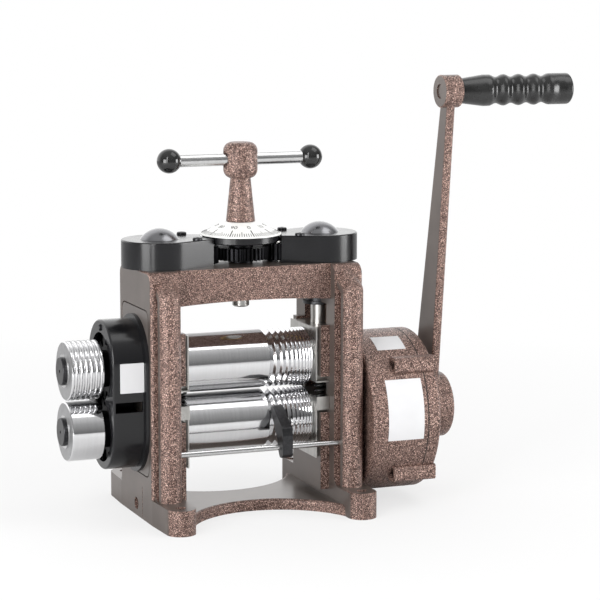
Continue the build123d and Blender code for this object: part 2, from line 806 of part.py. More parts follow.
def lower_roll():
    nose = output_shaft_diameter / 2
    end = [(block_outer_x, neck_radius), (block_outer_x, nose), (carrier_end_x, nose),
           (carrier_end_x, 0)]
    body = turned_x(roll_outline(end), lower_roll_z)
    body -= rod_x(pilot_diameter / 2 + running_clearance, carrier_start_x, carrier_end_x + 1, 0,
                  lower_roll_z)
    return body - end_bolt_hole(lower_roll_z)


def upper_roll():
    end = [(block_outer_x - 1, neck_radius), (block_outer_x - 1, 0)]
    return turned_x(roll_outline(end), upper_roll_z) - end_bolt_hole(upper_roll_z)


def end_bolt_hole(z):
    start = -side_roll_outer_x
    return rod_x(end_bolt_diameter / 2, start - 1, start + end_bolt_length, 0, z)


def side_roll(z, grooved):
    """A side roll on the roll's left end, plain or with half-round grooves."""
    inner, outer = -side_roll_inner_x, -side_roll_outer_x
    body = rod_x(roll_radius, outer, inner, 0, z)
    body = chamfer(end_face_edges(body, Axis.X) + end_face_edges(body, Axis.X, last=False),
                   roll_edge)
    body -= rod_x(shaft_radius, outer - 1, inner + 1, 0, z)
    if grooved:
        spacing = side_roll_length / (half_round_grooves + 0.5)
        for number in range(half_round_grooves):
            x = outer + spacing * (number + 0.75)
            body -= Pos(x, 0, z) * Rot(0, 90, 0) * Torus(roll_radius, half_round_radius)
    return body


def end_bolt(z):
    """The round-headed bolt and its plain ring at the end of a side roll."""
    face = -side_roll_outer_x - end_ring_thickness
    outer = face - end_bolt_head
    head = rod_x(end_bolt_head_diameter / 2, outer, face, 0, z)
    head = fillet(end_face_edges(head, Axis.X, last=False), end_bolt_edge)
    head -= rod_x(end_bolt_mark_diameter / 2, outer - 1, outer + end_bolt_mark_depth, 0, z)
    return head + rod_x(end_bolt_diameter / 2, face, -side_roll_outer_x + end_bolt_length, 0, z)


def end_ring(z):
    face = -side_roll_outer_x
    return tube_x(end_ring_diameter / 2, end_bolt_diameter / 2 + free_clearance / 4,
                  face - end_ring_thickness, face, 0, z)


def roll_gear(z, first_tooth):
    outline = gear_outline(roll_gear_teeth, roll_gear_module, roll_gear_addendum,
                           roll_gear_dedendum, gear_backlash, first_tooth)
    body = gear_x(outline, -roll_gear_outer_x, roll_gear_width, 0, z)
    body += rod_x(shaft_radius + roll_gear_hub, -side_roll_inner_x, -roll_gear_outer_x, 0, z)
    return body - rod_x(shaft_radius, -side_roll_inner_x - 1, -roll_gear_inner_x + 1, 0, z)


# ---- Gear guard ----
def slot_outline(radius, low, high):
    return (Pos(0, low) * Circle(radius) + Pos(0, high) * Circle(radius)
            + Pos(0, (low + high) / 2) * Rectangle(2 * radius, high - low))


def guard_screw_places():
    top = (0, guard_top - guard_top_screw_drop)
    return [top, (guard_half_width - guard_back_screw_inset, nip_z)]


def guard_screw_hole(y, z, inner_x):
    return rod_x(guard_screw_diameter / 2, -guard_outer_x - 1, -inner_x, y, z)


def guard_screw_ribs():
    """The ribs between the two screw posts and the nearest wall, over the gears' full depth."""
    half, inner = guard_rib / 2, -cheek_outer_x
    outer = -guard_outer_x + guard_wall - guard_post_root
    (top_y, top_z), (back_y, back_z) = guard_screw_places()
    top = box(outer, inner, top_y - half, top_y + half, top_z, guard_top - guard_wall + 1)
    back = box(outer, inner, back_y, guard_half_width - guard_wall + 1, back_z - half,
               back_z + half)
    return top + back


def gear_guard():
    """A shell over the roll gears, open at the mouth for the side rolls, with a side slot."""
    low, high = guard_bottom + guard_half_width, guard_top - guard_half_width
    depth = guard_outer_x - cheek_outer_x
    shell = extrude(Plane.YZ.offset(-guard_outer_x) * slot_outline(guard_half_width, low, high),
                    depth)
    shell = fillet(end_face_edges(shell, Axis.X, last=False), guard_edge)
    rim = slot_outline(guard_half_width + guard_flange_width, low, high)
    shell += extrude(Plane.YZ.offset(-cheek_outer_x - guard_flange_thickness) * rim,
                     guard_flange_thickness)
    inner = slot_outline(guard_half_width - guard_wall, low, high)
    shell -= extrude(Plane.YZ.offset(-guard_outer_x + guard_wall) * inner, depth)
    mouth = Pos(0, lower_roll_z) * Circle(guard_mouth_radius)
    mouth += slot_outline(guard_mouth_radius, upper_roll_z, upper_roll_z + opening_up)
    shell -= extrude(Plane.YZ.offset(-guard_outer_x - 1) * mouth, guard_wall + 2)
    shell -= box(-guard_outer_x + guard_slot_end, -cheek_outer_x - guard_slot_start,
                 -guard_half_width - 1, -guard_half_width + guard_wall + 1,
                 guard_slot_z - guard_slot_height / 2, guard_slot_z + guard_slot_height / 2)
    shell += guard_screw_ribs()
    for y, z in guard_screw_places():
        shell += rod_x(guard_post_diameter / 2, -guard_outer_x + guard_wall - guard_post_root,
                       -cheek_outer_x, y, z)
        shell -= guard_screw_hole(y, z, cheek_outer_x - 1)
    return shell


def guard_screws():
    screws = []
    for y, z in guard_screw_places():
        head = rod_x(guard_screw_head_diameter / 2, -guard_outer_x - guard_screw_head,
                     -guard_outer_x, y, z)
        head = fillet(end_face_edges(head, Axis.X, last=False), guard_screw_edge)
        shank = rod_x(guard_screw_diameter / 2, -guard_outer_x,
                      -cheek_outer_x + guard_screw_depth, y, z)
        screws.append(head + shank)
    return Compound(children=screws)


# ---- Pressure screws, idlers and top guards ----
def pressure_screw(side):
    """The screw that sets one end of the upper roll: foot, thread in the nut, gear seat."""
    foot_z = upper_block_top - screw_pocket_depth + running_clearance
    seat = screw_gear_bottom
    body = rod_z_axis(screw_diameter / 2, foot_z, window_top, side * screw_x)
    body += rod_z_axis(screw_thread_diameter / 2, window_top, seat, side * screw_x)
    return body + rod_z_axis(screw_diameter / 2, seat, frame_height + screw_rise, side * screw_x)


def screw_nuts():
    def make(side):
        x = side * screw_x
        body = rod_z_axis(nut_diameter / 2, window_top, nut_top, x)
        flange = Pos(x, 0, window_top - nut_flange / 2)
        body += flange * Cylinder(nut_flange_diameter / 2, nut_flange)
        return body - rod_z_axis(screw_thread_diameter / 2 + running_clearance,
                                 window_top - nut_flange - 1, nut_top + 1, x)
    return both_sides(make)


def top_gear_outline(teeth, first_tooth):
    return gear_outline(teeth, top_module, top_module, 1.25 * top_module, gear_backlash,
                        first_tooth)


def screw_gear(side):
    first_tooth = 180 if side > 0 else 0
    body = gear_z(top_gear_outline(spindle_teeth, first_tooth), screw_gear_bottom,
                  screw_gear_thickness, side * screw_x)
    return body - rod_z_axis(screw_diameter / 2, screw_gear_bottom - 1,
                             screw_gear_bottom + screw_gear_thickness + 1, side * screw_x)


def idler_gear(side):
    half_pitch = 180 / idler_teeth
    body = gear_z(top_gear_outline(idler_teeth, half_pitch), idler_bottom, idler_thickness,
                  side * idler_x)
    return body - rod_z_axis(idler_pin_diameter / 2 + running_clearance, idler_bottom - 1,
                             idler_bottom + idler_thickness + 1, side * idler_x)


def idler_pins():
    def make(side):
        x = side * idler_x
        pin_radius, wide = idler_pin_diameter / 2, idler_pin_diameter / 2 + idler_washer
        cap_z = idler_bottom + idler_thickness + free_clearance / 2
        pin = rod_z_axis(pin_radius, frame_height - idler_pin_depth, cap_z + idler_cap / 2, x)
        washer = rod_z_axis(wide, frame_height, idler_bottom - free_clearance / 2, x)
        return pin + washer + rod_z_axis(wide, cap_z, cap_z + idler_cap, x)
    return both_sides(make)


def top_guard_outline(margin):
    """A lobe round the screw, with straight flanks to the window beside the dial."""
    lobe = top_guard_lobe_radius - margin
    waist = top_guard_waist - margin
    window = top_guard_window_x
    reach = hypot(screw_x - window, waist)
    lead = atan2(waist, screw_x - window) + acos(lobe / reach)
    touch_x, touch_y = screw_x - lobe * cos(lead), lobe * sin(lead)
    flanks = Polyline((window, -waist), (touch_x, -touch_y), (touch_x, touch_y), (window, waist),
                      close=True)
    return Pos(screw_x, 0) * Circle(lobe) + make_face(flanks)


def top_guard(side):
    """One cover over a screw gear and an idler, open towards the dial."""
    height = top_guard_top - frame_height
    shell = extrude(Pos(0, 0, frame_height) * top_guard_outline(0), height)
    shell = fillet(end_face_edges(shell, Axis.Z), top_guard_edge)
    inner = extrude(Pos(0, 0, frame_height - 1) * top_guard_outline(top_guard_wall),
                    height - top_guard_wall + 1)
    half = top_guard_waist - top_guard_wall
    inner += box(top_guard_window_x - 1, top_guard_window_x + 1, -half, half, frame_height - 1,
                 top_guard_top - top_guard_wall)
    shell -= inner
    shell -= rod_z_axis(dial_diameter / 2 + free_clearance, dial_rim_bottom - free_clearance,
                        top_guard_top + 1)
    shell -= rod_z_axis(cap_radius - 2 * cap_wall, frame_height, top_guard_top + 1, screw_x)
    for y in (-top_screw_y, top_screw_y):
        post = rod_z_axis(top_post_diameter / 2, frame_height, top_guard_top - 1, top_screw_x, y)
        shell += post & extrude(Pos(0, 0, frame_height) * top_guard_outline(top_post_inset), height)
        shell -= rod_z_axis(top_screw_diameter / 2, frame_height - 1, top_guard_top + 1,
                            top_screw_x, y)
    return shell if side > 0 else mirror_x(shell)


def top_guard_screws():
    screws = []
    for x in (-top_screw_x, top_screw_x):
        for y in (-top_screw_y, top_screw_y):
            head = rod_z_axis(top_screw_head_diameter / 2, top_guard_top,
                              top_guard_top + top_screw_head, x, y)
            head = fillet(end_face_edges(head, Axis.Z), top_screw_edge)
            head -= Pos(x, y, top_guard_top + top_screw_head) * extrude(
                RegularPolygon(top_screw_socket, 6), top_screw_socket, both=True)
            shank = rod_z_axis(top_screw_diameter / 2, frame_height - top_screw_depth,
                               top_guard_top, x, y)
            screws.append(head + shank)
    return Compound(children=screws)


def screw_caps():
    """The two polished domes over the ends of the pressure screws."""
    sphere = (cap_radius ** 2 + cap_height ** 2) / (2 * cap_height)

    def make(side):
        centre_z = top_guard_top + cap_height - sphere
        place = Pos(side * screw_x, 0, centre_z)
        dome = place * Sphere(sphere) - place * Sphere(sphere - cap_wall)
        return dome & rod_z_axis(cap_radius + 1, top_guard_top, top_guard_top + cap_height + 1,
                                 side * screw_x)
    return both_sides(make)


# ---- Adjusting handle ----
def spindle():
    return rod_z_axis(spindle_radius, spindle_nut_bottom + spindle_nut_floor, spindle_top_z)


def spindle_bush():
    inner = spindle_radius + running_clearance
    return tube_z(inner + spindle_bush_wall, inner, beam_middle_z, frame_height)


def spindle_nut():
    body = rod_z_axis(spindle_nut_diameter / 2, spindle_nut_bottom,
                      spindle_nut_bottom + spindle_nut_height)
    body = chamfer(end_face_edges(body, Axis.Z, last=False), spindle_nut_edge)
    return body - rod_z_axis(spindle_radius, spindle_nut_bottom + spindle_nut_floor,
                             spindle_nut_bottom + spindle_nut_height + 1)


def centre_gear():
    body = gear_z(top_gear_outline(spindle_teeth, 0), centre_gear_bottom, centre_gear_thickness)
    hub = rod_z_axis(spindle_radius + centre_gear_hub, frame_height + free_clearance / 2,
                     dial_rim_bottom)
    return body + hub - rod_z_axis(spindle_radius, frame_height, dial_rim_bottom + 1)


def dial_rim():
    body = rod_z_axis(dial_rim_diameter / 2, dial_rim_bottom, dial_base_z)
    body = chamfer(end_face_edges(body, Axis.Z, last=False), dial_rim_edge)
    return body - rod_z_axis(spindle_radius, dial_rim_bottom - 1, dial_base_z + 1)


def dial():
    outer, inner = dial_diameter / 2, spindle_radius
    points = [(inner, dial_base_z), (outer, dial_base_z), (outer, dial_base_z + dial_edge),
              (dial_top_diameter / 2, dial_top_z), (inner, dial_top_z)]
    return turned_z(points)


def handle_boss():
    """The tapered stem and the barrel-shaped hub that holds the cross bar."""
    stem = turned_z([(0, dial_top_z), (boss_bottom_diameter / 2 - boss_edge, dial_top_z),
                     (boss_bottom_diameter / 2, dial_top_z + boss_edge),
                     (boss_top_diameter / 2, boss_top_z), (0, boss_top_z)])
    hub = rod_z_axis(hub_diameter / 2, hub_bottom, hub_top)
    hub = fillet(end_face_edges(hub, Axis.Z) + end_face_edges(hub, Axis.Z, last=False),
                 hub_edge_radius)
    body = stem + hub
    body -= rod_z_axis(spindle_radius, dial_top_z - 1, spindle_top_z)
    body -= rod_x(bar_diameter / 2, -hub_diameter, hub_diameter, 0, bar_z)
    for start, end in ((-hub_diameter, -spot_face_x), (spot_face_x, hub_diameter)):
        body -= rod_x(spot_face_diameter / 2, start, end, 0, bar_z)
    return body


def handle_bar():
    return rod_x(bar_diameter / 2, -bar_half_length, bar_half_length, 0, bar_z)


def handle_knobs():
    def make(side):
        ball = Pos(side * bar_half_length, 0, bar_z) * Sphere(knob_diameter / 2)
        return ball - handle_bar()
    return both_sides(make)


# ---- Gearbox ----
def four_places(y_offset, z_offset):
    """Four (y, z) places round the lower roll's axis."""
    places = []
    for y in (-y_offset, y_offset):
        for z in (-z_offset, z_offset):
            places.append((y, lower_roll_z + z))
    return places


def mount_screw_places():
    return four_places(mount_screw_y, mount_screw_z)


def lug_places():
    reach, angle = gearbox_radius + gearbox_lug_out, radians(gearbox_lug_angle)
    return four_places(reach * cos(angle), reach * sin(angle))


def lugs(x0, x1):
    """Square bosses along the drum for its long bolts."""
    outline = RectangleRounded(gearbox_lug_width, gearbox_lug_width, gearbox_lug_width / 5)
    solids = None
    for y, z in lug_places():
        lug = extrude(Plane.YZ.offset(x0) * Pos(y, z) * outline, x1 - x0)
        solids = lug if solids is None else solids + lug
    return solids


def gearbox_housing():
    """The drum that holds the ring gear: its back sits on the cheek."""
    x0, x1 = cheek_outer_x, gearbox_joint_x
    drum = rod_x(gearbox_radius, x0, x1, 0, lower_roll_z)
    drum = fillet(end_face_edges(drum, Axis.X, last=False), gearbox_edge)
    drum += lugs(gearbox_lug_x, x1)
    drum -= rod_x(cavity_radius, gearbox_cavity_x, x1 + 1, 0, lower_roll_z)
    drum -= rod_x(shaft_bearing_outer_diameter / 2, x0 - 1, gearbox_cavity_x + 1, 0, lower_roll_z)
    drum -= gearbox_bolt_holes(gearbox_lug_x - 1, x1 + 1)
    for y, z in mount_screw_places():
        drum -= rod_x(mount_screw_diameter / 2 + free_clearance / 4, x0 - 1,
                      gearbox_cavity_x + 1, y, z)
        drum -= mount_screw_cone(y, z)
    return drum


def mount_screw_cone(y, z):
    """The countersunk head of a mounting screw, flush with the inside of the drum's back."""
    depth = (mount_screw_head_diameter - mount_screw_diameter) / 2
    along = (Align.CENTER, Align.CENTER, Align.MIN)
    return Pos(gearbox_cavity_x - depth, y, z) * Rot(0, 90, 0) * Cone(
        mount_screw_diameter / 2, mount_screw_head_diameter / 2, depth, align=along)


def gearbox_mount_screws():
    screws = []
    for y, z in mount_screw_places():
        shank = rod_x(mount_screw_diameter / 2, cheek_outer_x - mount_screw_depth,
                      gearbox_cavity_x, y, z)
        screws.append(shank + mount_screw_cone(y, z))
    return Compound(children=screws)


def gearbox_bolt_holes(x0, x1):
    holes = None
    for y, z in lug_places():
        hole = rod_x(gearbox_bolt_diameter / 2, x0, x1, y, z)
        hole += rod_x(gearbox_bolt_head_diameter / 2 + free_clearance / 4, gearbox_lug_x - 1,
                      gearbox_lug_x + gearbox_bolt_recess + gearbox_bolt_head, y, z)
        holes = hole if holes is None else holes + hole
    return holes


def gearbox_bolts():
    bolts = []
    for y, z in lug_places():
        start = gearbox_lug_x + gearbox_bolt_recess
        head = rod_x(gearbox_bolt_head_diameter / 2, start, start + gearbox_bolt_head, y, z)
        socket = extrude(RegularPolygon(gearbox_bolt_socket, 6), gearbox_bolt_socket_depth,
                         both=True)
        head -= Pos(start, y, z) * Rot(0, 90, 0) * socket
        shank = rod_x(gearbox_bolt_diameter / 2, start + gearbox_bolt_head, gearbox_bolt_end_x,
                      y, z)
        bolts.append(head + shank)
    return Compound(children=bolts)


def gearbox_cover():
    """The end plate of the drum, with the seat of the crank bearing."""
    x0, x1 = gearbox_joint_x, gearbox_outer_x
    plate = rod_x(gearbox_radius, x0, x1, 0, lower_roll_z)
    plate = fillet(end_face_edges(plate, Axis.X), gearbox_edge)
    plate += lugs(x0, x1)
    plate -= rod_x(cavity_radius, x0 - 1, x1 - gearbox_cover_wall, 0, lower_roll_z)
    seat_radius = crank_bearing_outer_diameter / 2
    plate += rod_x(seat_radius + bearing_seat_wall, crank_bearing_start_x,
                   x1 - gearbox_cover_wall / 2, 0, lower_roll_z)
    plate -= rod_x(seat_radius, crank_bearing_start_x - 1, x1 + 1, 0, lower_roll_z)
    return plate - gearbox_bolt_holes(x0 - 1, gearbox_bolt_end_x)


def crank_bearing():
    return tube_x(crank_bearing_outer_diameter / 2, crank_radius + running_clearance,
                  crank_bearing_start_x, gearbox_outer_x, 0, lower_roll_z)


def shaft_bearing():
    return tube_x(shaft_bearing_outer_diameter / 2, output_shaft_diameter / 2
                  + running_clearance, cheek_outer_x, gearbox_cavity_x, 0, lower_roll_z)


def ring_gear():
    """The fixed ring with inner teeth: its spaces have the shape of a planet's teeth."""
    spaces = gear_outline(ring_teeth, gear_module, 1.25 * gear_module, gear_module,
                          -gear_backlash, 180 / ring_teeth)
    ring = rod_x(cavity_radius, gear_start_x, gear_end_x, 0, lower_roll_z)
    return ring - gear_x(spaces, gear_start_x - 1, gear_width + 2, 0, lower_roll_z)


def planet_place(number):
    return 2 * pi * number / planets


def planet_gear(number):
    turn = planet_place(number)
    first_tooth = 180 + 180 / planet_teeth + degrees(turn) * (1 + sun_teeth / planet_teeth)
    outline = gear_outline(planet_teeth, gear_module, gear_module, 1.25 * gear_module,
                           gear_backlash, first_tooth)
    y, z = planet_orbit * cos(turn), lower_roll_z + planet_orbit * sin(turn)
    body = gear_x(outline, gear_start_x, gear_width, y, z)
    return body - rod_x(planet_pin_diameter / 2 + running_clearance, gear_start_x - 1,
                        gear_end_x + 1, y, z)


def planet_carrier():
    """The plate on the lower roll's end, with a pin for each planet gear."""
    body = tube_x(carrier_radius, output_shaft_diameter / 2, carrier_start_x, carrier_end_x, 0,
                  lower_roll_z)
    for number in range(planets):
        turn = planet_place(number)
        y, z = planet_orbit * cos(turn), lower_roll_z + planet_orbit * sin(turn)
        body += rod_x(planet_pin_diameter / 2, carrier_start_x, gear_end_x + planet_pin_end, y, z)
        body += rod_x(planet_pin_diameter / 2 + planet_washer, carrier_end_x - 1,
                      gear_start_x - free_clearance / 2, y, z)
    return body


def crank_shaft():
    """The input shaft: its pilot runs in the roll's end and its sun gear drives the planets."""
    nose = rod_x(pilot_diameter / 2, carrier_start_x + 1, gear_start_x, 0, lower_roll_z)
    outline = gear_outline(sun_teeth, gear_module, gear_module, 1.25 * gear_module,
                           gear_backlash, 0)
    body = nose + gear_x(outline, gear_start_x, gear_width, 0, lower_roll_z)
    body += rod_x(crank_radius, gear_end_x, crank_hub_outer_x - hub_recess_depth, 0,
                  lower_roll_z)
    return body - rod_x(hub_screw_diameter / 2, crank_hub_outer_x - hub_screw_length,
                        crank_hub_outer_x + 1, 0, lower_roll_z)


# ---- Crank and grip ----
def crank_place():
    """Turns a piece drawn upright above the shaft to the crank's rest angle."""
    return Pos(0, 0, lower_roll_z) * Rot(crank_lean, 0, 0)


def crank_arm():
    """Hub, tapered arm and eye in one casting, drawn upright and leaned over."""
    hub = rod_x(crank_hub_diameter / 2, crank_hub_inner_x, crank_hub_outer_x)
    hub = fillet(end_face_edges(hub, Axis.X) + end_face_edges(hub, Axis.X, last=False),
                 crank_hub_edge)
    root, tip = crank_arm_root_width / 2, crank_arm_tip_width / 2
    low, high = crank_arm_root, crank_throw - crank_arm_tip_gap
    outline = make_face(Polyline((-root, low), (root, low), (tip, high), (-tip, high),
                                 close=True))
    arm = extrude(Plane.YZ.offset(crank_arm_inner_x) * outline, crank_arm_thickness)
    long_edges = (end_face_edges(arm, Axis.X) + end_face_edges(arm, Axis.X, last=False))
    arm = fillet(long_edges, crank_arm_edge)
    eye = rod_x(eye_diameter / 2, eye_inner_x, eye_outer_x, 0, crank_throw)
    eye = fillet(end_face_edges(eye, Axis.X) + end_face_edges(eye, Axis.X, last=False), eye_edge)
    body = hub + arm + eye
    body -= rod_x(crank_radius, crank_hub_inner_x - 1, crank_hub_outer_x + 1)
    body -= rod_x(hub_recess_diameter / 2, crank_hub_outer_x - hub_recess_depth,
                  crank_hub_outer_x + 1)
    body -= rod_x(grip_bolt_diameter / 2, eye_inner_x - 1, eye_outer_x + 1, 0, crank_throw)
    body -= rod_x(eye_recess_diameter / 2, eye_inner_x - 1, eye_inner_x + eye_recess_depth, 0,
                  crank_throw)
    return crank_place() * body


def hub_screw():
    face = crank_hub_outer_x - hub_recess_depth
    body = rod_x(hub_screw_head_diameter / 2, face, face + hub_screw_head, 0, lower_roll_z)
    socket = extrude(RegularPolygon(hub_screw_socket, 6), hub_screw_socket_depth, both=True)
    body -= Pos(face + hub_screw_head, 0, lower_roll_z) * Rot(0, 90, 0) * socket
    return body + rod_x(hub_screw_diameter / 2, crank_hub_outer_x - hub_screw_length, face, 0,
                        lower_roll_z)


def grip_bolt():
    """The bolt that the grip turns on, with its end riveted in the eye's recess."""
    start = eye_inner_x + eye_recess_depth
    body = rod_x(grip_bolt_diameter / 2, start, grip_bolt_end_x, 0, crank_throw)
    body += rod_x(grip_bolt_head_diameter / 2, start - grip_bolt_head, start, 0, crank_throw)
    return crank_place() * body


def grip_outline():
    """The grip's outline as (x, radius) edges: a taper, finger grooves and a rounded end."""
    full, start = grip_diameter / 2, grip_start_diameter / 2
    edges = [Line((grip_start_x, 0), (grip_start_x, start))]
    at = (grip_start_x + grip_swell, full)
    edges.append(Line((grip_start_x, start), at))
    half = grip_groove_spacing / 2
    for number in range(grip_grooves):
        middle = grip_start_x + grip_first_groove + number * grip_groove_spacing
        begin, end = (middle - half, full), (middle + half, full)
        if begin[0] - at[0] > 0.01:
            edges.append(Line(at, begin))
        edges.append(ThreePointArc(begin, (middle, full - grip_groove_depth), end))
        at = end
    edges.append(Line(at, (grip_end_x - grip_end_radius, full)))
    corner = grip_end_radius * (1 - cos(pi / 4))
    edges.append(ThreePointArc((grip_end_x - grip_end_radius, full),
                               (grip_end_x - corner, full - corner),
                               (grip_end_x, full - grip_end_radius)))
    edges.append(Line((grip_end_x, full - grip_end_radius), (grip_end_x, 0)))
    edges.append(Line((grip_end_x, 0), (grip_start_x, 0)))
    return edges


def crank_grip():
    face = make_face(Wire([edge.edge() for edge in grip_outline()]))
    body = Pos(0, 0, crank_throw) * revolve(Plane.XZ * face, Axis.X)
    body -= rod_x(grip_bolt_diameter / 2 + running_clearance, grip_start_x - 1,
                  grip_bolt_end_x + free_clearance, 0, crank_throw)
    return crank_place() * body


# ---- Wire guide ----
def guide_rod():
    end = rod_seat_x - free_clearance
    return rod_x(rod_diameter / 2, -end, end, rod_y, rod_z)


def guide_finger():
    """A flat finger hung on the rod: it leans back over the lower roll, towards the nip."""
    half = finger_thickness / 2
    way = Vector(finger_tip_y - rod_y, finger_tip_z - rod_z)
    side = Vector(-way.Y, way.X).normalized() * half
    tip, bend = Vector(finger_tip_y, finger_tip_z), Vector(rod_y, rod_z + finger_bend)
    outline = make_face(Polyline((rod_y - finger_eye_radius, finger_tail_z + finger_tail_bevel),
                                 (rod_y - finger_eye_radius, bend.Y - finger_bend_drop),
                                 (bend.X - half + side.X, bend.Y + half + side.Y),
                                 (tip.X + side.X, tip.Y + side.Y),
                                 (tip.X - side.X, tip.Y - side.Y),
                                 (rod_y + finger_eye_radius, rod_z + finger_back_rise),
                                 (rod_y + finger_eye_radius, rod_z),
                                 (rod_y + finger_tail_back, finger_tail_z),
                                 (rod_y - finger_tail_front, finger_tail_z),
                                 close=True))
    outline = fillet(outline.vertices(), finger_edge)
    body = extrude(Plane.YZ.offset(finger_x - finger_width / 2) * outline, finger_width)
    return body - rod_x(rod_diameter / 2 + running_clearance, finger_x - finger_width,
                        finger_x + finger_width, rod_y, rod_z)


# ---- The whole mill ----
def main():
    lower_first_tooth = 90.0
    upper_first_tooth = 90.0 + 180.0 / roll_gear_teeth
    write("frame_casting", frame_casting())
    write("side_cover_left", side_cover(-1))
    write("side_cover_right", side_cover(1))
    write("lower_bearing_blocks", lower_bearing_blocks())
    write("lower_bushes", bushes(lower_roll_z))
    write("upper_bearing_blocks", upper_bearing_blocks())
    write("upper_bushes", bushes(upper_roll_z))
    write("return_springs", return_springs())
    print_spring_gap()
    write("lower_roll", lower_roll())
    write("upper_roll", upper_roll())
    write("lower_roll_gear", roll_gear(lower_roll_z, lower_first_tooth))
    write("upper_roll_gear", roll_gear(upper_roll_z, upper_first_tooth))
    write("lower_side_roll", side_roll(lower_roll_z, False))
    write("upper_side_roll", side_roll(upper_roll_z, True))
    write("lower_end_bolt", end_bolt(lower_roll_z))
    write("upper_end_bolt", end_bolt(upper_roll_z))
    write("lower_end_ring", end_ring(lower_roll_z))
    write("upper_end_ring", end_ring(upper_roll_z))
    write("gear_guard", gear_guard())
    write("gear_guard_screws", guard_screws())
    for name, side in (("left", -1), ("right", 1)):
        write("pressure_screw_" + name, pressure_screw(side))
        write("screw_gear_" + name, screw_gear(side))
        write("idler_gear_" + name, idler_gear(side))
        write("top_guard_" + name, top_guard(side))
    write("screw_nuts", screw_nuts())
    write("idler_pins", idler_pins())
    write("top_guard_screws", top_guard_screws())
    write("screw_caps", screw_caps())
    write("handle_spindle", spindle())
    write("spindle_bush", spindle_bush())
    write("spindle_nut", spindle_nut())
    write("centre_gear", centre_gear())
    write("dial_rim", dial_rim())
    write("dial", dial())
    write("handle_boss", handle_boss())
    write("handle_bar", handle_bar())
    write("handle_knobs", handle_knobs())
    write("gearbox_housing", gearbox_housing())
    write("gearbox_mount_screws", gearbox_mount_screws())
    write("gearbox_cover", gearbox_cover())
    write("gearbox_bolts", gearbox_bolts())
    write("shaft_bearing", shaft_bearing())
    write("crank_bearing", crank_bearing())
    write("ring_gear", ring_gear())
    for number in range(planets):
        write("planet_gear_" + str(number + 1), planet_gear(number))
    write("planet_carrier", planet_carrier())
    write("crank_shaft", crank_shaft())
    write("crank_arm", crank_arm())
    write("hub_screw", hub_screw())
    write("grip_bolt", grip_bolt())
    write("crank_grip", crank_grip())
    write("guide_rod", guide_rod())
    write("guide_finger", guide_finger())


main()
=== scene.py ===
import math

import bmesh
import bpy
from mathutils import Euler, Matrix, Vector


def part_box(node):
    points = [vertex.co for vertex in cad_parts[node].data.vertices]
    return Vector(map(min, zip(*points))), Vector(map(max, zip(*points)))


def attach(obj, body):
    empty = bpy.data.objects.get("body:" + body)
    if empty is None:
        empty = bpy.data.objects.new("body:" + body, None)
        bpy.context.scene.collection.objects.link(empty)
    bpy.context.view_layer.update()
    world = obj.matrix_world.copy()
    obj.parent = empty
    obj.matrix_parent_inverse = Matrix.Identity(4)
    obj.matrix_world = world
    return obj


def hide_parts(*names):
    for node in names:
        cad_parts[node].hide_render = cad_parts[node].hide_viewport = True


bl_info = {
    "name": "Bench rolling mill",
    "version": (1, 0, 0),
    "blender": (4, 5, 0),
    "location": "View3D > Sidebar > Rolling mill",
    "description": "Finishes, grip, dial marks and labels of a hand-cranked rolling mill",
    "category": "Object",
}

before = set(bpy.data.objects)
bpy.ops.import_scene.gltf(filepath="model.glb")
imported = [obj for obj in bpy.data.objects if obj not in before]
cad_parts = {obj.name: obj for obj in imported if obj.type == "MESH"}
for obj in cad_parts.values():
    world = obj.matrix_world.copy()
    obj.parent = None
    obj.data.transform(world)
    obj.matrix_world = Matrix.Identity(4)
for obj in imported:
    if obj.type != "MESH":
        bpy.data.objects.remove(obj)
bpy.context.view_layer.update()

GRIP_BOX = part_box("crank_grip")
GRIP_START = GRIP_BOX[0][0]
GRIP_END = GRIP_BOX[1][0]
GRIP_Y = (GRIP_BOX[0][1] + GRIP_BOX[1][1]) / 2
GRIP_Z = (GRIP_BOX[0][2] + GRIP_BOX[1][2]) / 2
DIAL_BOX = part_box("dial")
DIAL_BASE_Z = DIAL_BOX[0][2]
DIAL_RADIUS = DIAL_BOX[1][0]
DRUM_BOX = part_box("gearbox_housing")
DRUM_RADIUS = (DRUM_BOX[1][2] - DRUM_BOX[0][2]) / 2
DRUM_Z = (DRUM_BOX[1][2] + DRUM_BOX[0][2]) / 2


# ---- Sizes and colours that a user may change ----
class MillFinishes(bpy.types.PropertyGroup):
    """Colours of the mill's paint, plastic and metals."""
    paint: bpy.props.FloatVectorProperty(
        name="Copper paint", description="Main colour of the hammered paint",
        subtype="COLOR", size=3, min=0, max=1, default=(0.42, 0.268, 0.222))
    paint_vein: bpy.props.FloatVectorProperty(
        name="Paint veins", description="Dark lines between the paint's drops",
        subtype="COLOR", size=3, min=0, max=1, default=(0.030, 0.013, 0.010))
    paint_fleck: bpy.props.FloatVectorProperty(
        name="Paint flecks", description="Pale drops in the paint",
        subtype="COLOR", size=3, min=0, max=1, default=(0.66, 0.46, 0.385))
    # Plain grey-brown of the casting's faces square to X and upward faces: painted sheen and side
    # light over a smoother paint.
    paint_flat_sheen: bpy.props.FloatVectorProperty(
        name="Flat paint", description="Paint of the casting's smooth side and upper faces",
        subtype="COLOR", size=3, min=0, max=1, default=(0.120, 0.098, 0.087))
    paint_drop: bpy.props.FloatProperty(
        name="Drop size", description="Width of one drop of the hammered paint",
        default=0.00130, min=0.0004, max=0.01, unit="LENGTH", precision=4)
    plastic: bpy.props.FloatVectorProperty(
        name="Guard plastic", description="Colour of the moulded guards",
        subtype="COLOR", size=3, min=0, max=1, default=(0.007, 0.007, 0.008))
    dial_white: bpy.props.FloatVectorProperty(
        name="Dial white", description="Ground colour of the dial",
        subtype="COLOR", size=3, min=0, max=1, default=(0.86, 0.86, 0.84))


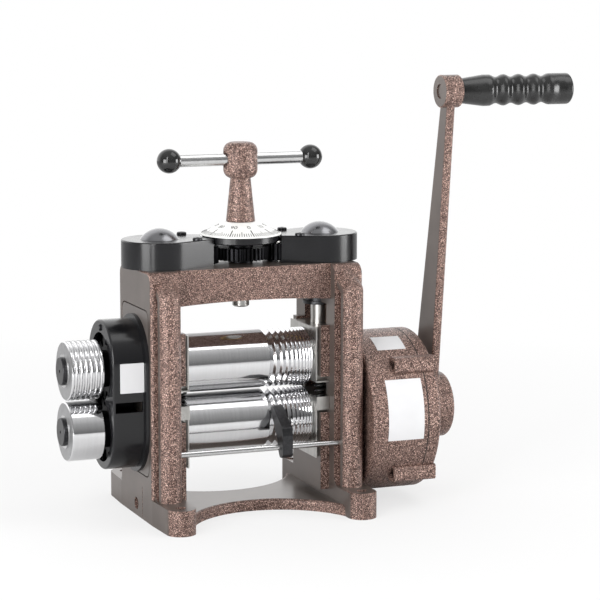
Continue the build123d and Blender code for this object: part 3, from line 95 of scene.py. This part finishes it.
class MillSizes(bpy.types.PropertyGroup):
    """Sizes of the pieces that the finishing adds."""
    grip_groove_depth: bpy.props.FloatProperty(
        name="Finger groove depth", description="How deep the grip's finger grooves go",
        default=0.0026, min=0, max=0.004, unit="LENGTH", precision=4)
    grip_groove_tilt: bpy.props.FloatProperty(
        name="Finger groove bend", description="How far a groove bends along the grip at the front",
        default=0.0022, min=0, max=0.006, unit="LENGTH", precision=4)
    dial_divisions: bpy.props.IntProperty(
        name="Dial divisions", description="Graduations round the dial", default=100, min=20, max=200)
    dial_numbers: bpy.props.IntProperty(
        name="Dial numbers", description="Numbered graduations round the dial", default=10,
        min=4, max=20)
    label_width: bpy.props.FloatProperty(
        name="Guard label width", description="Width of the blank label on the gear guard",
        default=0.020, min=0.005, max=0.022, unit="LENGTH", precision=4)
    label_height: bpy.props.FloatProperty(
        name="Guard label height", description="Height of the blank label on the gear guard",
        default=0.024, min=0.005, max=0.03, unit="LENGTH", precision=4)


# ---- Material helpers ----
class Finish:
    """A material under construction: its nodes are added one by one and linked by name."""

    def __init__(self, name):
        self.material = bpy.data.materials.new(name)
        self.material.use_nodes = True
        self.nodes = self.material.node_tree.nodes
        self.links = self.material.node_tree.links
        self.shader = self.nodes["Principled BSDF"]
        self.place = self.add("ShaderNodeTexCoord").outputs["Object"]

    def add(self, kind, **values):
        node = self.nodes.new(kind)
        for key, value in values.items():
            setattr(node, key, value)
        return node

    def set(self, node, **values):
        for key, value in values.items():
            node.inputs[key.replace("_", " ")].default_value = value
        return node

    def link(self, output, target):
        self.links.new(output, target)

    def stretched(self, scale):
        """The object's coordinates, stretched along an axis for brushed or turned marks."""
        node = self.add("ShaderNodeMapping")
        node.inputs["Scale"].default_value = scale
        self.link(self.place, node.inputs["Vector"])
        return node.outputs["Vector"]

    def noise(self, scale, detail=2.0, roughness=0.5, vector=None):
        node = self.add("ShaderNodeTexNoise")
        self.set(node, Scale=scale, Detail=detail, Roughness=roughness)
        self.link(vector or self.place, node.inputs["Vector"])
        return node.outputs["Fac"]

    def cells(self, scale, feature, vector):
        node = self.add("ShaderNodeTexVoronoi", feature=feature)
        self.set(node, Scale=scale, Randomness=1.0)
        self.link(vector, node.inputs["Vector"])
        return node

    def ramp(self, value, stops):
        node = self.add("ShaderNodeValToRGB")
        ramp = node.color_ramp
        while len(ramp.elements) < len(stops):
            ramp.elements.new(0.5)
        for element, (position, colour) in zip(ramp.elements, stops):
            element.position = position
            element.color = (*colour, 1)
        self.link(value, node.inputs["Fac"])
        return node.outputs["Color"]

    def grey(self, value, low, high, start=0.0, end=1.0):
        """Maps a value between start and end to a number between low and high."""
        node = self.add("ShaderNodeMapRange")
        node.inputs["From Min"].default_value = start
        node.inputs["From Max"].default_value = end
        node.inputs["To Min"].default_value = low
        node.inputs["To Max"].default_value = high
        self.link(value, node.inputs["Value"])
        return node.outputs["Result"]

    def mix(self, factor, first, second):
        node = self.add("ShaderNodeMix", data_type="RGBA")
        for value, index in ((factor, 0), (first, 6), (second, 7)):
            if isinstance(value, bpy.types.NodeSocket):
                self.link(value, node.inputs[index])
            elif index == 0:
                node.inputs[index].default_value = value
            else:
                node.inputs[index].default_value = (*value[:3], 1)
        return node.outputs[2]

    def fade(self, factor, first, second):
        """A number that goes from the first value to the second, itself a number or a socket."""
        node = self.add("ShaderNodeMix", data_type="FLOAT")
        for value, index in ((factor, 0), (first, 2), (second, 3)):
            if isinstance(value, bpy.types.NodeSocket):
                self.link(value, node.inputs[index])
            else:
                node.inputs[index].default_value = value
        return node.outputs[0]

    def flat_faces(self):
        """One on faces square to X and on level faces that look up, zero elsewhere."""
        apart = self.add("ShaderNodeSeparateXYZ")
        self.link(self.add("ShaderNodeTexCoord").outputs["Normal"], apart.inputs["Vector"])
        across = self.add("ShaderNodeMath", operation="ABSOLUTE")
        self.link(apart.outputs["X"], across.inputs[0])
        most = self.add("ShaderNodeMath", operation="MAXIMUM")
        self.link(across.outputs["Value"], most.inputs[0])
        self.link(apart.outputs["Z"], most.inputs[1])
        return self.grey(most.outputs["Value"], 0.0, 1.0, 0.93, 0.985)

    def bump(self, height, strength, distance):
        node = self.add("ShaderNodeBump")
        node.inputs["Strength"].default_value = strength
        node.inputs["Distance"].default_value = distance
        self.link(height, node.inputs["Height"])
        return node.outputs["Normal"]


def hammered_paint(name, colours, smooth_sheen_faces=False):
    """Copper-brown hammered enamel: pale and copper drops between dark veins.

    On the frame casting the faces square to X and the faces looking up get little pattern and a plain
    grey-brown: the paint is smoother there, and the plain tone is painted sheen and side light.
    """
    finish = Finish(name)
    drop = 1 / colours.paint_drop
    warp = finish.add("ShaderNodeTexNoise")
    finish.set(warp, Scale=drop * 0.9, Detail=2.0)
    finish.link(finish.place, warp.inputs["Vector"])
    shift = finish.add("ShaderNodeVectorMath", operation="MULTIPLY_ADD")
    shift.inputs[1].default_value = (colours.paint_drop * 1.3,) * 3
    finish.link(warp.outputs["Color"], shift.inputs[0])
    finish.link(finish.place, shift.inputs[2])
    veins = finish.cells(drop, "DISTANCE_TO_EDGE", shift.outputs["Vector"])
    drops = finish.cells(drop, "F1", shift.outputs["Vector"])
    tone = finish.ramp(drops.outputs["Color"], (
        (0.10, [v * 0.55 for v in colours.paint]), (0.45, colours.paint),
        (0.70, [(a + b) / 2 for a, b in zip(colours.paint, colours.paint_fleck)]),
        (0.92, colours.paint_fleck)))
    edge = finish.grey(veins.outputs["Distance"], 0.0, 1.0, 0.04, 0.26)
    colour = finish.mix(edge, colours.paint_vein, tone)
    roughness = finish.grey(edge, 0.50, 0.30)
    height = edge
    # Faces square to X and upward faces lose the hammered colours for a plain grey-brown, which is
    # painted sheen and side light; their lower roughness and bump are a smoother paint.
    if smooth_sheen_faces:
        flat = finish.flat_faces()
        cloud = finish.noise(45, 4.0)
        plain = finish.mix(finish.grey(cloud, 0, 1, 0.3, 0.7), colours.paint_flat_sheen,
                           [v * 0.8 for v in colours.paint_flat_sheen])
        colour = finish.mix(flat, colour, plain)
        roughness = finish.fade(flat, roughness, 0.30)
        height = finish.fade(flat, edge, 0.5)
    finish.link(colour, finish.shader.inputs["Base Color"])
    finish.link(roughness, finish.shader.inputs["Roughness"])
    finish.set(finish.shader, Metallic=0.35)
    finish.link(finish.bump(height, 0.6, 0.00016), finish.shader.inputs["Normal"])
    return finish.material


def moulded_plastic(colour):
    """Satin black mouldings with a fine grain."""
    finish = Finish("moulded_black_plastic")
    cloud = finish.noise(35, 3.0)
    finish.link(finish.mix(finish.grey(cloud, 0, 1, 0.35, 0.65), colour,
                           [v * 1.4 for v in colour]), finish.shader.inputs["Base Color"])
    finish.link(finish.grey(cloud, 0.17, 0.24, 0.3, 0.7), finish.shader.inputs["Roughness"])
    grain = finish.noise(1400, 2.0)
    finish.link(finish.bump(grain, 0.05, 0.00003), finish.shader.inputs["Normal"])
    finish.set(finish.shader, Specular_IOR_Level=0.4)
    return finish.material


def gloss_plastic(name, roughness):
    """Polished black plastic of the grip and the knobs."""
    finish = Finish(name)
    cloud = finish.noise(70, 4.0)
    finish.link(finish.mix(finish.grey(cloud, 0, 1, 0.35, 0.65), (0.010, 0.010, 0.010),
                           (0.018, 0.018, 0.018)), finish.shader.inputs["Base Color"])
    finish.link(finish.grey(cloud, roughness * 0.8, roughness * 1.2, 0.3, 0.7),
                finish.shader.inputs["Roughness"])
    return finish.material


def turned_metal(name, colour, roughness, marks, lines=(0, 0, 0), relief=0.0, dull_ends_dark_top=0.0):
    """Metal with fine lines along one way, as turning, grinding or brushing leaves them.

    The last argument is how rough the faced ends across X and the faces looking up are; zero leaves
    them like the rest. Those faces also get a darker ringed tone, which on the upward band of a round
    part is a painted dark reflection.
    """
    finish = Finish(name)
    finish.set(finish.shader, Metallic=1.0)
    grain = finish.noise(1.0, 3.0, 0.6, finish.stretched(lines))
    cloud = finish.noise(40, 3.0)
    dark = [v * (1 - marks) for v in colour]
    tone = finish.mix(finish.grey(grain, 0, 1, 0.35, 0.65), dark, colour)
    rough = finish.grey(cloud, roughness * 0.85, roughness * 1.15, 0.3, 0.7)
    # Faced ends across X and faces looking up get a darker ringed tone; on round parts this darkens
    # the upward band as a painted dark reflection.
    if dull_ends_dark_top:
        flat = finish.flat_faces()
        rings = finish.noise(1.0, 2.0, 0.5, finish.stretched((900, 250, 250)))
        end_and_top_tone = finish.mix(rings, [v * 0.45 for v in colour], [v * 0.60 for v in colour])
        tone = finish.mix(flat, tone, end_and_top_tone)
        rough = finish.fade(flat, rough, dull_ends_dark_top)
    finish.link(tone, finish.shader.inputs["Base Color"])
    finish.link(rough, finish.shader.inputs["Roughness"])
    if relief:
        finish.link(finish.bump(grain, relief, 0.00002), finish.shader.inputs["Normal"])
    return finish.material


def dial_paint(colour):
    """White enamel of the dial, with a faint warmth in places."""
    finish = Finish("dial_enamel")
    cloud = finish.noise(120, 3.0)
    finish.link(finish.mix(finish.grey(cloud, 0, 1, 0.3, 0.7), colour,
                           [v * 0.95 for v in colour]), finish.shader.inputs["Base Color"])
    finish.set(finish.shader, Roughness=0.32)
    return finish.material


def plain_ink(name, colour, roughness=0.6):
    """Printed ink or label stock with a slight mottle."""
    finish = Finish(name)
    cloud = finish.noise(60, 2.0)
    finish.link(finish.mix(finish.grey(cloud, 0, 1, 0.3, 0.7), colour,
                           [v * 0.96 for v in colour]),
                finish.shader.inputs["Base Color"])
    finish.set(finish.shader, Roughness=roughness)
    return finish.material


def coat(node, material):
    """Gives a node of the frame its finish."""
    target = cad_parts[node]
    if not target.material_slots:
        target.data.materials.append(material)
    for slot in target.material_slots:
        slot.material = material


# ---- Mesh helpers ----
def show(name, shape, material, body, smooth_angle=35.0):
    """Makes the finished bmesh an object of the scene that rides on a body."""
    bmesh.ops.remove_doubles(shape, verts=shape.verts, dist=1e-6)
    bmesh.ops.recalc_face_normals(shape, faces=shape.faces)
    mesh = bpy.data.meshes.new(name)
    shape.to_mesh(mesh)
    shape.free()
    mesh.materials.append(material)
    for face in mesh.polygons:
        face.use_smooth = True
    mesh.set_sharp_from_angle(angle=math.radians(smooth_angle))
    piece = bpy.data.objects.new(name, mesh)
    bpy.context.scene.collection.objects.link(piece)
    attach(piece, body)
    return piece


def spun(profile, centre, steps=96):
    """Spins an open line of (along X, radius) points about the line along X through centre."""
    shape = bmesh.new()
    points = [shape.verts.new((x, centre[1] - radius, centre[2])) for x, radius in profile]
    edges = [shape.edges.new(pair) for pair in zip(points, points[1:])]
    bmesh.ops.spin(shape, geom=points + edges, cent=centre, axis=(1, 0, 0),
                   angle=2 * math.pi, steps=steps, use_merge=True)
    return shape


# ---- The grip ----
GROOVES = 4                     # round the whole grip; one more shows at the front alone
FIRST_GROOVE = 0.034            # from the eye end
GROOVE_SPACING = 0.0141
GRIP_RADIUS = 0.013
GRIP_NECK_RADIUS = 0.010
GRIP_NECK_LENGTH = 0.022
GRIP_END_ROUNDING = 0.002


def grip_radius(along):
    """The grip's full radius at a distance from its eye end, before the finger grooves."""
    if along < GRIP_NECK_LENGTH:
        return GRIP_NECK_RADIUS + (GRIP_RADIUS - GRIP_NECK_RADIUS) * along / GRIP_NECK_LENGTH
    return GRIP_RADIUS


def shape_grip(sizes):
    """Spins the grip's outline and presses the finger grooves into it."""
    length = GRIP_END - GRIP_START
    profile = [(GRIP_START, 0.0), (GRIP_START, 0.0092), (GRIP_START + 0.0008, GRIP_NECK_RADIUS)]
    steps = 150
    for step in range(2, steps):
        along = length * step / steps
        if along > length - GRIP_END_ROUNDING - 0.0002:
            break
        profile.append((GRIP_START + along, grip_radius(along)))
    for turn in range(0, 91, 15):
        angle = math.radians(turn)
        profile.append((GRIP_END - GRIP_END_ROUNDING * (1 - math.sin(angle)),
                        GRIP_RADIUS - GRIP_END_ROUNDING * (1 - math.cos(angle))))
    profile += [(GRIP_END - 0.0002, 0.006), (GRIP_END - 0.0002, 0.0)]
    shape = spun(profile, (GRIP_START, GRIP_Y, GRIP_Z))
    for vert in shape.verts:
        y, z = vert.co.y - GRIP_Y, vert.co.z - GRIP_Z
        radius = math.hypot(y, z)
        if radius < 0.0095:
            continue
        along = vert.co.x - GRIP_START
        angle = math.atan2(z, -y)
        front = max(0.0, math.cos(angle))
        along += sizes.grip_groove_tilt * front
        for number in range(GROOVES + 1):
            distance = abs(along - FIRST_GROOVE - GROOVE_SPACING * number) / (GROOVE_SPACING / 2)
            if distance < 1:
                swell = (1 + math.cos(math.pi * distance)) / 2
                round_part = 0.8 if number < GROOVES else 0.0
                depth = sizes.grip_groove_depth * (round_part + 0.5 * front ** 3)
                radius -= depth * swell
        scale = radius / math.hypot(y, z)
        vert.co.y, vert.co.z = GRIP_Y + y * scale, GRIP_Z + z * scale
    return shape


class MILL_OT_grip(bpy.types.Operator):
    """Models the crank's grip with its bent finger grooves"""
    bl_idname = "mill.grip"
    bl_label = "Crank grip"

    def execute(self, context):
        sizes = context.scene.mill_sizes
        piece = show("finger_grip", shape_grip(sizes), gloss_plastic("grip_plastic", 0.26),
                     "grip", 40)
        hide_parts("crank_grip")
        return {"FINISHED"}


# ---- The dial ----
DIAL_RIM_EDGE = 0.001           # upright edge under the dial's cone
DIAL_TOP_RADIUS = 0.0128
DIAL_TOP_Z = 0.2387
LONG_MARK = (0.0095, 0.0009)    # length and width
HALF_MARK = (0.0070, 0.0005)
SHORT_MARK = (0.0048, 0.0005)
MARK_THICKNESS = 0.00006
NUMBER_SIZE = 0.0060
MARKS_ALONG = 0.04              # share of the way up the cone
NUMBERS_ALONG = 0.66


def dial_place(angle, along):
    """Turns and lifts a flat mark onto the dial's cone, at a share of the way up from the rim."""
    rim = Vector((DIAL_RADIUS, 0, DIAL_BASE_Z + DIAL_RIM_EDGE))
    top = Vector((DIAL_TOP_RADIUS, 0, DIAL_TOP_Z))
    slope = math.atan2(top.z - rim.z, rim.x - top.x)
    point = rim.lerp(top, along)
    lift = Matrix.Translation(point) @ Matrix.Rotation(slope, 4, "Y")
    return Matrix.Rotation(angle, 4, "Z") @ lift


def add_mark(shape, length, width, height, place):
    """Adds a thin bar, long towards the dial's middle, that lies at its outer end."""
    made = bmesh.ops.create_cube(shape, size=1.0)["verts"]
    bmesh.ops.scale(shape, vec=(length, width, height), verts=made)
    bmesh.ops.translate(shape, vec=(-length / 2, 0, height / 2), verts=made)
    bmesh.ops.transform(shape, matrix=place, verts=made)


class MILL_OT_dial_marks(bpy.types.Operator):
    """Prints graduations and plain numbers round the dial"""
    bl_idname = "mill.dial_marks"
    bl_label = "Dial marks"

    def execute(self, context):
        sizes = context.scene.mill_sizes
        ink = plain_ink("dial_ink", (0.02, 0.02, 0.02))
        marks = bmesh.new()
        step = sizes.dial_divisions // sizes.dial_numbers
        for number in range(sizes.dial_divisions):
            angle = -math.pi / 2 + 2 * math.pi * number / sizes.dial_divisions
            long = number % step == 0
            half = number % step == step // 2
            length, width = LONG_MARK if long else HALF_MARK if half else SHORT_MARK
            add_mark(marks, length, width, MARK_THICKNESS, dial_place(angle, MARKS_ALONG))
        show("dial_graduations", marks, ink, "handle", 20)
        numbers = bmesh.new()
        for number in range(sizes.dial_numbers):
            angle = -math.pi / 2 + 2 * math.pi * number / sizes.dial_numbers
            text = bpy.data.curves.new("dial_number", "FONT")
            text.body = str(number * step)
            text.size = NUMBER_SIZE
            text.align_x = "CENTER"
            text.align_y = "CENTER"
            text.extrude = 0.00003
            holder = bpy.data.objects.new("dial_number", text)
            context.scene.collection.objects.link(holder)
            context.view_layer.update()
            mesh = bpy.data.meshes.new_from_object(holder)
            mesh.transform(dial_place(angle, NUMBERS_ALONG) @ Matrix.Rotation(math.pi / 2, 4, "Z"))
            numbers.from_mesh(mesh)
            bpy.data.objects.remove(holder)
            bpy.data.meshes.remove(mesh)
        show("dial_numbers", numbers, ink, "handle", 20)
        return {"FINISHED"}


# ---- Blank labels and the gearbox gasket ----
LABEL_THICKNESS = 0.0002
GUARD_LABEL_PLACE = (-0.105, -0.03402, 0.1205)
DRUM_LABEL = (0.1045, 0.1365, -12.5, 31.0)    # ends along X, and degrees above the drum's front
DRUM_BADGE = (0.107, 0.1325, 56.5, 72.5)
GASKET_HALF_WIDTH = 0.00045
GASKET_RISE = 0.00008
GASKET_DEPTH = 0.0005


def rounded_plate(width, height, corner, thickness):
    """A flat plate in X and Z with rounded corners, its back at y 0 and its face at -thickness."""
    shape = bmesh.new()
    bmesh.ops.create_grid(shape, x_segments=1, y_segments=1, size=0.5)
    bmesh.ops.scale(shape, vec=(width, height, 1), verts=shape.verts)
    bmesh.ops.bevel(shape, geom=shape.verts[:], offset=corner, segments=5, profile=0.5,
                    affect="VERTICES", material=-1)
    bmesh.ops.rotate(shape, cent=(0, 0, 0), matrix=Matrix.Rotation(math.pi / 2, 3, "X"),
                     verts=shape.verts)
    face = bmesh.ops.extrude_face_region(shape, geom=shape.faces[:])
    moved = [item for item in face["geom"] if isinstance(item, bmesh.types.BMVert)]
    bmesh.ops.translate(shape, vec=(0, -thickness, 0), verts=moved)
    return shape


def drum_patch(x0, x1, low, high, thickness):
    """A thin patch bent round the drum between two angles above its front."""
    shape = bmesh.new()
    count = 12
    points = [shape.verts.new((x0 + (x1 - x0) * n / count, -DRUM_RADIUS, DRUM_Z))
              for n in range(count + 1)]
    edges = [shape.edges.new(pair) for pair in zip(points, points[1:])]
    centre = (0, 0, DRUM_Z)
    bmesh.ops.rotate(shape, cent=centre, matrix=Matrix.Rotation(-math.radians(low), 3, "X"),
                     verts=shape.verts)
    bmesh.ops.spin(shape, geom=points + edges, cent=centre, axis=(-1, 0, 0),
                   angle=math.radians(high - low), steps=18)
    bmesh.ops.recalc_face_normals(shape, faces=shape.faces)
    for vert in shape.verts:
        away = Vector((0, vert.co.y, vert.co.z - DRUM_Z)).normalized()
        vert.co += away * 0.00005
    made = bmesh.ops.extrude_face_region(shape, geom=shape.faces[:])
    for item in made["geom"]:
        if isinstance(item, bmesh.types.BMVert):
            item.co += Vector((0, item.co.y, item.co.z - DRUM_Z)).normalized() * thickness
    return shape


class MILL_OT_parting_line(bpy.types.Operator):
    """Draws the dark edge of the gasket between the gearbox drum and its cover"""
    bl_idname = "mill.parting_line"
    bl_label = "Gearbox parting line"

    def execute(self, context):
        joint = DRUM_BOX[1][0]
        edge = DRUM_RADIUS + GASKET_RISE
        inside = DRUM_RADIUS - GASKET_DEPTH
        left, right = joint - GASKET_HALF_WIDTH, joint + GASKET_HALF_WIDTH
        profile = [(left, inside), (left, edge), (right, edge), (right, inside)]
        line = spun(profile, (joint, 0, DRUM_Z), steps=180)
        show("gearbox_parting_line", line, plain_ink("gasket_edge", (0.012, 0.008, 0.007)),
             "frame", 40)
        return {"FINISHED"}


class MILL_OT_labels(bpy.types.Operator):
    """Sticks blank labels on the gear guard and the gearbox drum"""
    bl_idname = "mill.labels"
    bl_label = "Blank labels"

    def execute(self, context):
        sizes = context.scene.mill_sizes
        stock = plain_ink("white_label_stock", (0.66, 0.66, 0.67), 0.5)
        plate = rounded_plate(sizes.label_width, sizes.label_height, 0.0006, 0.00025)
        bmesh.ops.translate(plate, vec=GUARD_LABEL_PLACE, verts=plate.verts)
        show("guard_label", plate, stock, "frame", 30)
        show("drum_label", drum_patch(*DRUM_LABEL, LABEL_THICKNESS), stock, "frame", 30)
        show("drum_badge", drum_patch(*DRUM_BADGE, LABEL_THICKNESS), stock, "frame", 30)
        return {"FINISHED"}


# ---- Finishes of the castings and metals ----
# These pieces carry painted sheen: their faces square to X and their upward faces get a plain
# grey-brown.
SMOOTH_SHEEN_SIDED = ("frame_casting", "crank_arm", "grip_bolt")
PAINTED = ("side_cover_right", "gearbox_housing", "gearbox_cover", "handle_boss")
MOULDED = ("gear_guard", "top_guard_left", "top_guard_right", "dial_rim")
POLISHED_ROLLS = ("lower_roll", "upper_roll", "lower_side_roll", "upper_side_roll")
BRIGHT = ("handle_bar", "lower_end_ring", "upper_end_ring", "guide_rod")
MACHINED = ("lower_bearing_blocks", "upper_bearing_blocks", "pressure_screw_left",
            "pressure_screw_right", "handle_spindle", "spindle_nut", "crank_shaft",
            "planet_carrier", "idler_pins")
GEARS = ("lower_roll_gear", "upper_roll_gear", "screw_gear_left", "screw_gear_right",
         "idler_gear_left", "idler_gear_right", "centre_gear", "ring_gear", "planet_gear_1",
         "planet_gear_2", "planet_gear_3")
BLACKENED_AND_SHADED = ("lower_end_bolt", "upper_end_bolt", "gear_guard_screws", "top_guard_screws",
             "gearbox_bolts", "gearbox_mount_screws", "hub_screw", "guide_finger",
             # The pressure-screw nuts are in this black list as painted shade; the other pieces are
             # blackened steel.
             "screw_nuts")
BRONZE = ("lower_bushes", "upper_bushes", "spindle_bush", "shaft_bearing", "crank_bearing")


class MILL_OT_finishes(bpy.types.Operator):
    """Gives every piece of the frame its finish"""
    bl_idname = "mill.finishes"
    bl_label = "Finishes"

    def execute(self, context):
        colours = context.scene.mill_finishes
        finishes = (
            (SMOOTH_SHEEN_SIDED, hammered_paint("frame_paint_side_sheen", colours, True)),
            (PAINTED, hammered_paint("copper_paint", colours)),
            (MOULDED, moulded_plastic(colours.plastic)),
            (("crank_grip",), gloss_plastic("hidden_grip_plastic", 0.26)),
            (("handle_knobs",), gloss_plastic("knob_plastic", 0.10)),
            # The ground rolls' upward band is darkened by the end mask, a painted dark reflection.
            (POLISHED_ROLLS, turned_metal("ground_steel", (0.74, 0.74, 0.75), 0.11, 0.05,
                                          (500, 15, 15), 0.0, 0.42)),
            (BRIGHT, turned_metal("bright_chrome", (0.62, 0.62, 0.62), 0.22, 0.06, (300, 40, 40))),
            (("screw_caps",), turned_metal("polished_caps", (0.22, 0.22, 0.23), 0.22, 0.10,
                                           (60, 60, 900))),
            (MACHINED, turned_metal("machined_steel", (0.50, 0.49, 0.47), 0.30, 0.18,
                                    (300, 300, 60), 0.15)),
            # Near-black gear metal is painted shade of the gears deep in the guards and under the
            # dial.
            (GEARS, turned_metal("gear_steel_painted_shade", (0.020, 0.020, 0.022), 0.45, 0.25,
                                 (60, 300, 300), 0.15)),
            (BLACKENED_AND_SHADED, turned_metal("blackened_steel_and_nut_shade", (0.060, 0.060, 0.063), 0.32, 0.30,
                                     (400, 400, 400), 0.2)),
            (("return_springs",), turned_metal("spring_wire", (0.03, 0.03, 0.03), 0.30, 0.2,
                                               (400, 400, 400), 0.2)),
            (BRONZE, turned_metal("bearing_bronze", (0.55, 0.36, 0.16), 0.35, 0.2,
                                  (300, 300, 300), 0.2)),
            # The left cover gets the plain grey-brown of the casting's side faces, a painted side
            # sheen; the right cover keeps the copper paint.
            (("side_cover_left",), plain_ink("left_cover_side_sheen", (0.10, 0.085, 0.078), 0.35)),
            (("dial",), dial_paint(colours.dial_white)),
        )
        for nodes, material in finishes:
            for node in nodes:
                coat(node, material)
        return {"FINISHED"}


# ---- Stage ----
FLOOR_WHITE = 0.70              # how much of the floor near the mill looks plain white
STUDIO_STRENGTH = 1.6
RISING_GREYS = ((0.0, 0.10), (0.12, 0.14), (0.55, 0.26), (0.92, 0.50))
BACKDROP_GREYS = ((0.0, 0.0), (0.25, 0.30), (0.60, 1.0), (1.0, 1.0))


def lamp(name, place, target, size, power, size_y=None):
    """Adds an area light that looks at the target and that the camera doesn't see."""
    light = bpy.data.lights.new(name, "AREA")
    light.energy = power
    light.size = size
    if size_y:
        light.shape = "RECTANGLE"
        light.size_y = size_y
    holder = bpy.data.objects.new(name, light)
    holder.location = place
    holder.rotation_euler = (Vector(target) - Vector(place)).to_track_quat("-Z", "Y").to_euler()
    holder.visible_camera = False
    bpy.context.scene.collection.objects.link(holder)


def floor_material():
    """A pale floor that looks white to the camera and keeps a soft shadow."""
    finish = Finish("pale_floor")
    finish.nodes.remove(finish.shader)
    diffuse = finish.add("ShaderNodeBsdfDiffuse")
    diffuse.inputs["Color"].default_value = (0.72, 0.72, 0.72, 1)
    glow = finish.add("ShaderNodeEmission")
    glow.inputs["Color"].default_value = (1, 1, 1, 1)
    rays = finish.add("ShaderNodeLightPath")
    away = finish.add("ShaderNodeVectorMath", operation="LENGTH")
    finish.link(finish.place, away.inputs[0])
    seen = finish.add("ShaderNodeMath", operation="MULTIPLY")
    finish.link(rays.outputs["Is Camera Ray"], seen.inputs[0])
    finish.link(finish.grey(away.outputs["Value"], FLOOR_WHITE, 1.0, 0.25, 0.9), seen.inputs[1])
    blend = finish.add("ShaderNodeMixShader")
    finish.link(seen.outputs["Value"], blend.inputs["Fac"])
    finish.link(diffuse.outputs["BSDF"], blend.inputs[1])
    finish.link(glow.outputs["Emission"], blend.inputs[2])
    finish.link(blend.outputs["Shader"], finish.nodes["Material Output"].inputs["Surface"])
    return finish.material


def sky_ramp(nodes, links, value, stops):
    """Greys of the studio along one direction."""
    ramp = nodes.new("ShaderNodeValToRGB")
    ramp.color_ramp.elements.new(0.5)
    ramp.color_ramp.elements.new(0.75)
    for element, (place, grey) in zip(ramp.color_ramp.elements, stops):
        element.position = place
        element.color = (grey, grey, grey, 1)
    links.new(value, ramp.inputs["Fac"])
    return ramp.outputs["Color"]


def build_world():
    """A plain studio: white to the camera, and greys that brighten upwards and behind."""
    world = bpy.data.worlds.new("studio")
    bpy.context.scene.world = world
    world.use_nodes = True
    nodes, links = world.node_tree.nodes, world.node_tree.links
    background = nodes["Background"]
    way = nodes.new("ShaderNodeTexCoord")
    apart = nodes.new("ShaderNodeSeparateXYZ")
    links.new(way.outputs["Generated"], apart.inputs["Vector"])
    rising = sky_ramp(nodes, links, apart.outputs["Z"], RISING_GREYS)
    behind = sky_ramp(nodes, links, apart.outputs["Y"], BACKDROP_GREYS)
    lighter = nodes.new("ShaderNodeMix")
    lighter.data_type = "RGBA"
    lighter.blend_type = "LIGHTEN"
    lighter.inputs[0].default_value = 1.0
    links.new(rising, lighter.inputs[6])
    links.new(behind, lighter.inputs[7])
    links.new(lighter.outputs[2], background.inputs["Color"])
    background.inputs["Strength"].default_value = STUDIO_STRENGTH
    white = nodes.new("ShaderNodeBackground")
    white.inputs["Color"].default_value = (1, 1, 1, 1)
    rays = nodes.new("ShaderNodeLightPath")
    blend = nodes.new("ShaderNodeMixShader")
    links.new(rays.outputs["Is Camera Ray"], blend.inputs["Fac"])
    links.new(background.outputs["Background"], blend.inputs[1])
    links.new(white.outputs["Background"], blend.inputs[2])
    links.new(blend.outputs["Shader"], nodes["World Output"].inputs["Surface"])


class MILL_OT_stage(bpy.types.Operator):
    """Sets the floor, the soft studio light and the camera"""
    bl_idname = "mill.stage"
    bl_label = "Stage"

    def execute(self, context):
        floor = bmesh.new()
        bmesh.ops.create_grid(floor, x_segments=1, y_segments=1, size=4.0)
        mesh = bpy.data.meshes.new("floor")
        floor.to_mesh(mesh)
        floor.free()
        mesh.materials.append(floor_material())
        ground = bpy.data.objects.new("floor", mesh)
        context.scene.collection.objects.link(ground)
        build_world()
        lamp("left_strip", (-0.75, -0.90, 0.60), (0, 0, 0.18), 0.16, 5.5, size_y=1.18)
        lamp("left_softbox", (-1.10, -0.62, 0.34), (0, 0, 0.08), 0.55, 10.5, size_y=0.60)
        lamp("right_softbox", (1.20, -0.70, 0.34), (0.05, 0, 0.08), 0.55, 11.5, size_y=0.60)
        lamp("overhead_softbox", (0.75, -0.40, 1.60), (0.05, 0, 0.1), 1.0, 6)
        camera = bpy.data.cameras.new("photo_camera")
        camera.sensor_width = 36
        camera.lens = 142.74
        camera.clip_end = 50
        holder = bpy.data.objects.new("photo_camera", camera)
        holder.location = (-0.67024, -1.81996, 0.46417)
        holder.rotation_euler = Euler((math.radians(90 - 8.53), math.radians(-0.07),
                                       math.radians(-21.65)))
        context.scene.collection.objects.link(holder)
        context.scene.camera = holder
        context.scene.view_settings.view_transform = "Standard"
        return {"FINISHED"}


class MILL_PT_panel(bpy.types.Panel):
    """Lists the mill's pieces and finishes"""
    bl_idname = "MILL_PT_panel"
    bl_label = "Rolling mill"
    bl_space_type = "VIEW_3D"
    bl_region_type = "UI"
    bl_category = "Rolling mill"

    def draw(self, context):
        layout = self.layout
        for group in (context.scene.mill_finishes, context.scene.mill_sizes):
            for key in group.bl_rna.properties.keys():
                if key not in ("rna_type", "name"):
                    layout.prop(group, key)
        for operator in OPERATORS:
            layout.operator(operator.bl_idname)


OPERATORS = (MILL_OT_stage, MILL_OT_finishes, MILL_OT_grip, MILL_OT_dial_marks,
             MILL_OT_parting_line, MILL_OT_labels)
CLASSES = (MillFinishes, MillSizes, *OPERATORS, MILL_PT_panel)


def register():
    for item in CLASSES:
        bpy.utils.register_class(item)
    bpy.types.Scene.mill_finishes = bpy.props.PointerProperty(type=MillFinishes)
    bpy.types.Scene.mill_sizes = bpy.props.PointerProperty(type=MillSizes)


def unregister():
    del bpy.types.Scene.mill_finishes
    del bpy.types.Scene.mill_sizes
    for item in reversed(CLASSES):
        bpy.utils.unregister_class(item)


def main():
    register()
    bpy.ops.mill.stage()
    bpy.ops.mill.finishes()
    bpy.ops.mill.grip()
    bpy.ops.mill.dial_marks()
    bpy.ops.mill.parting_line()
    bpy.ops.mill.labels()


if __name__ == "__main__":
    main()
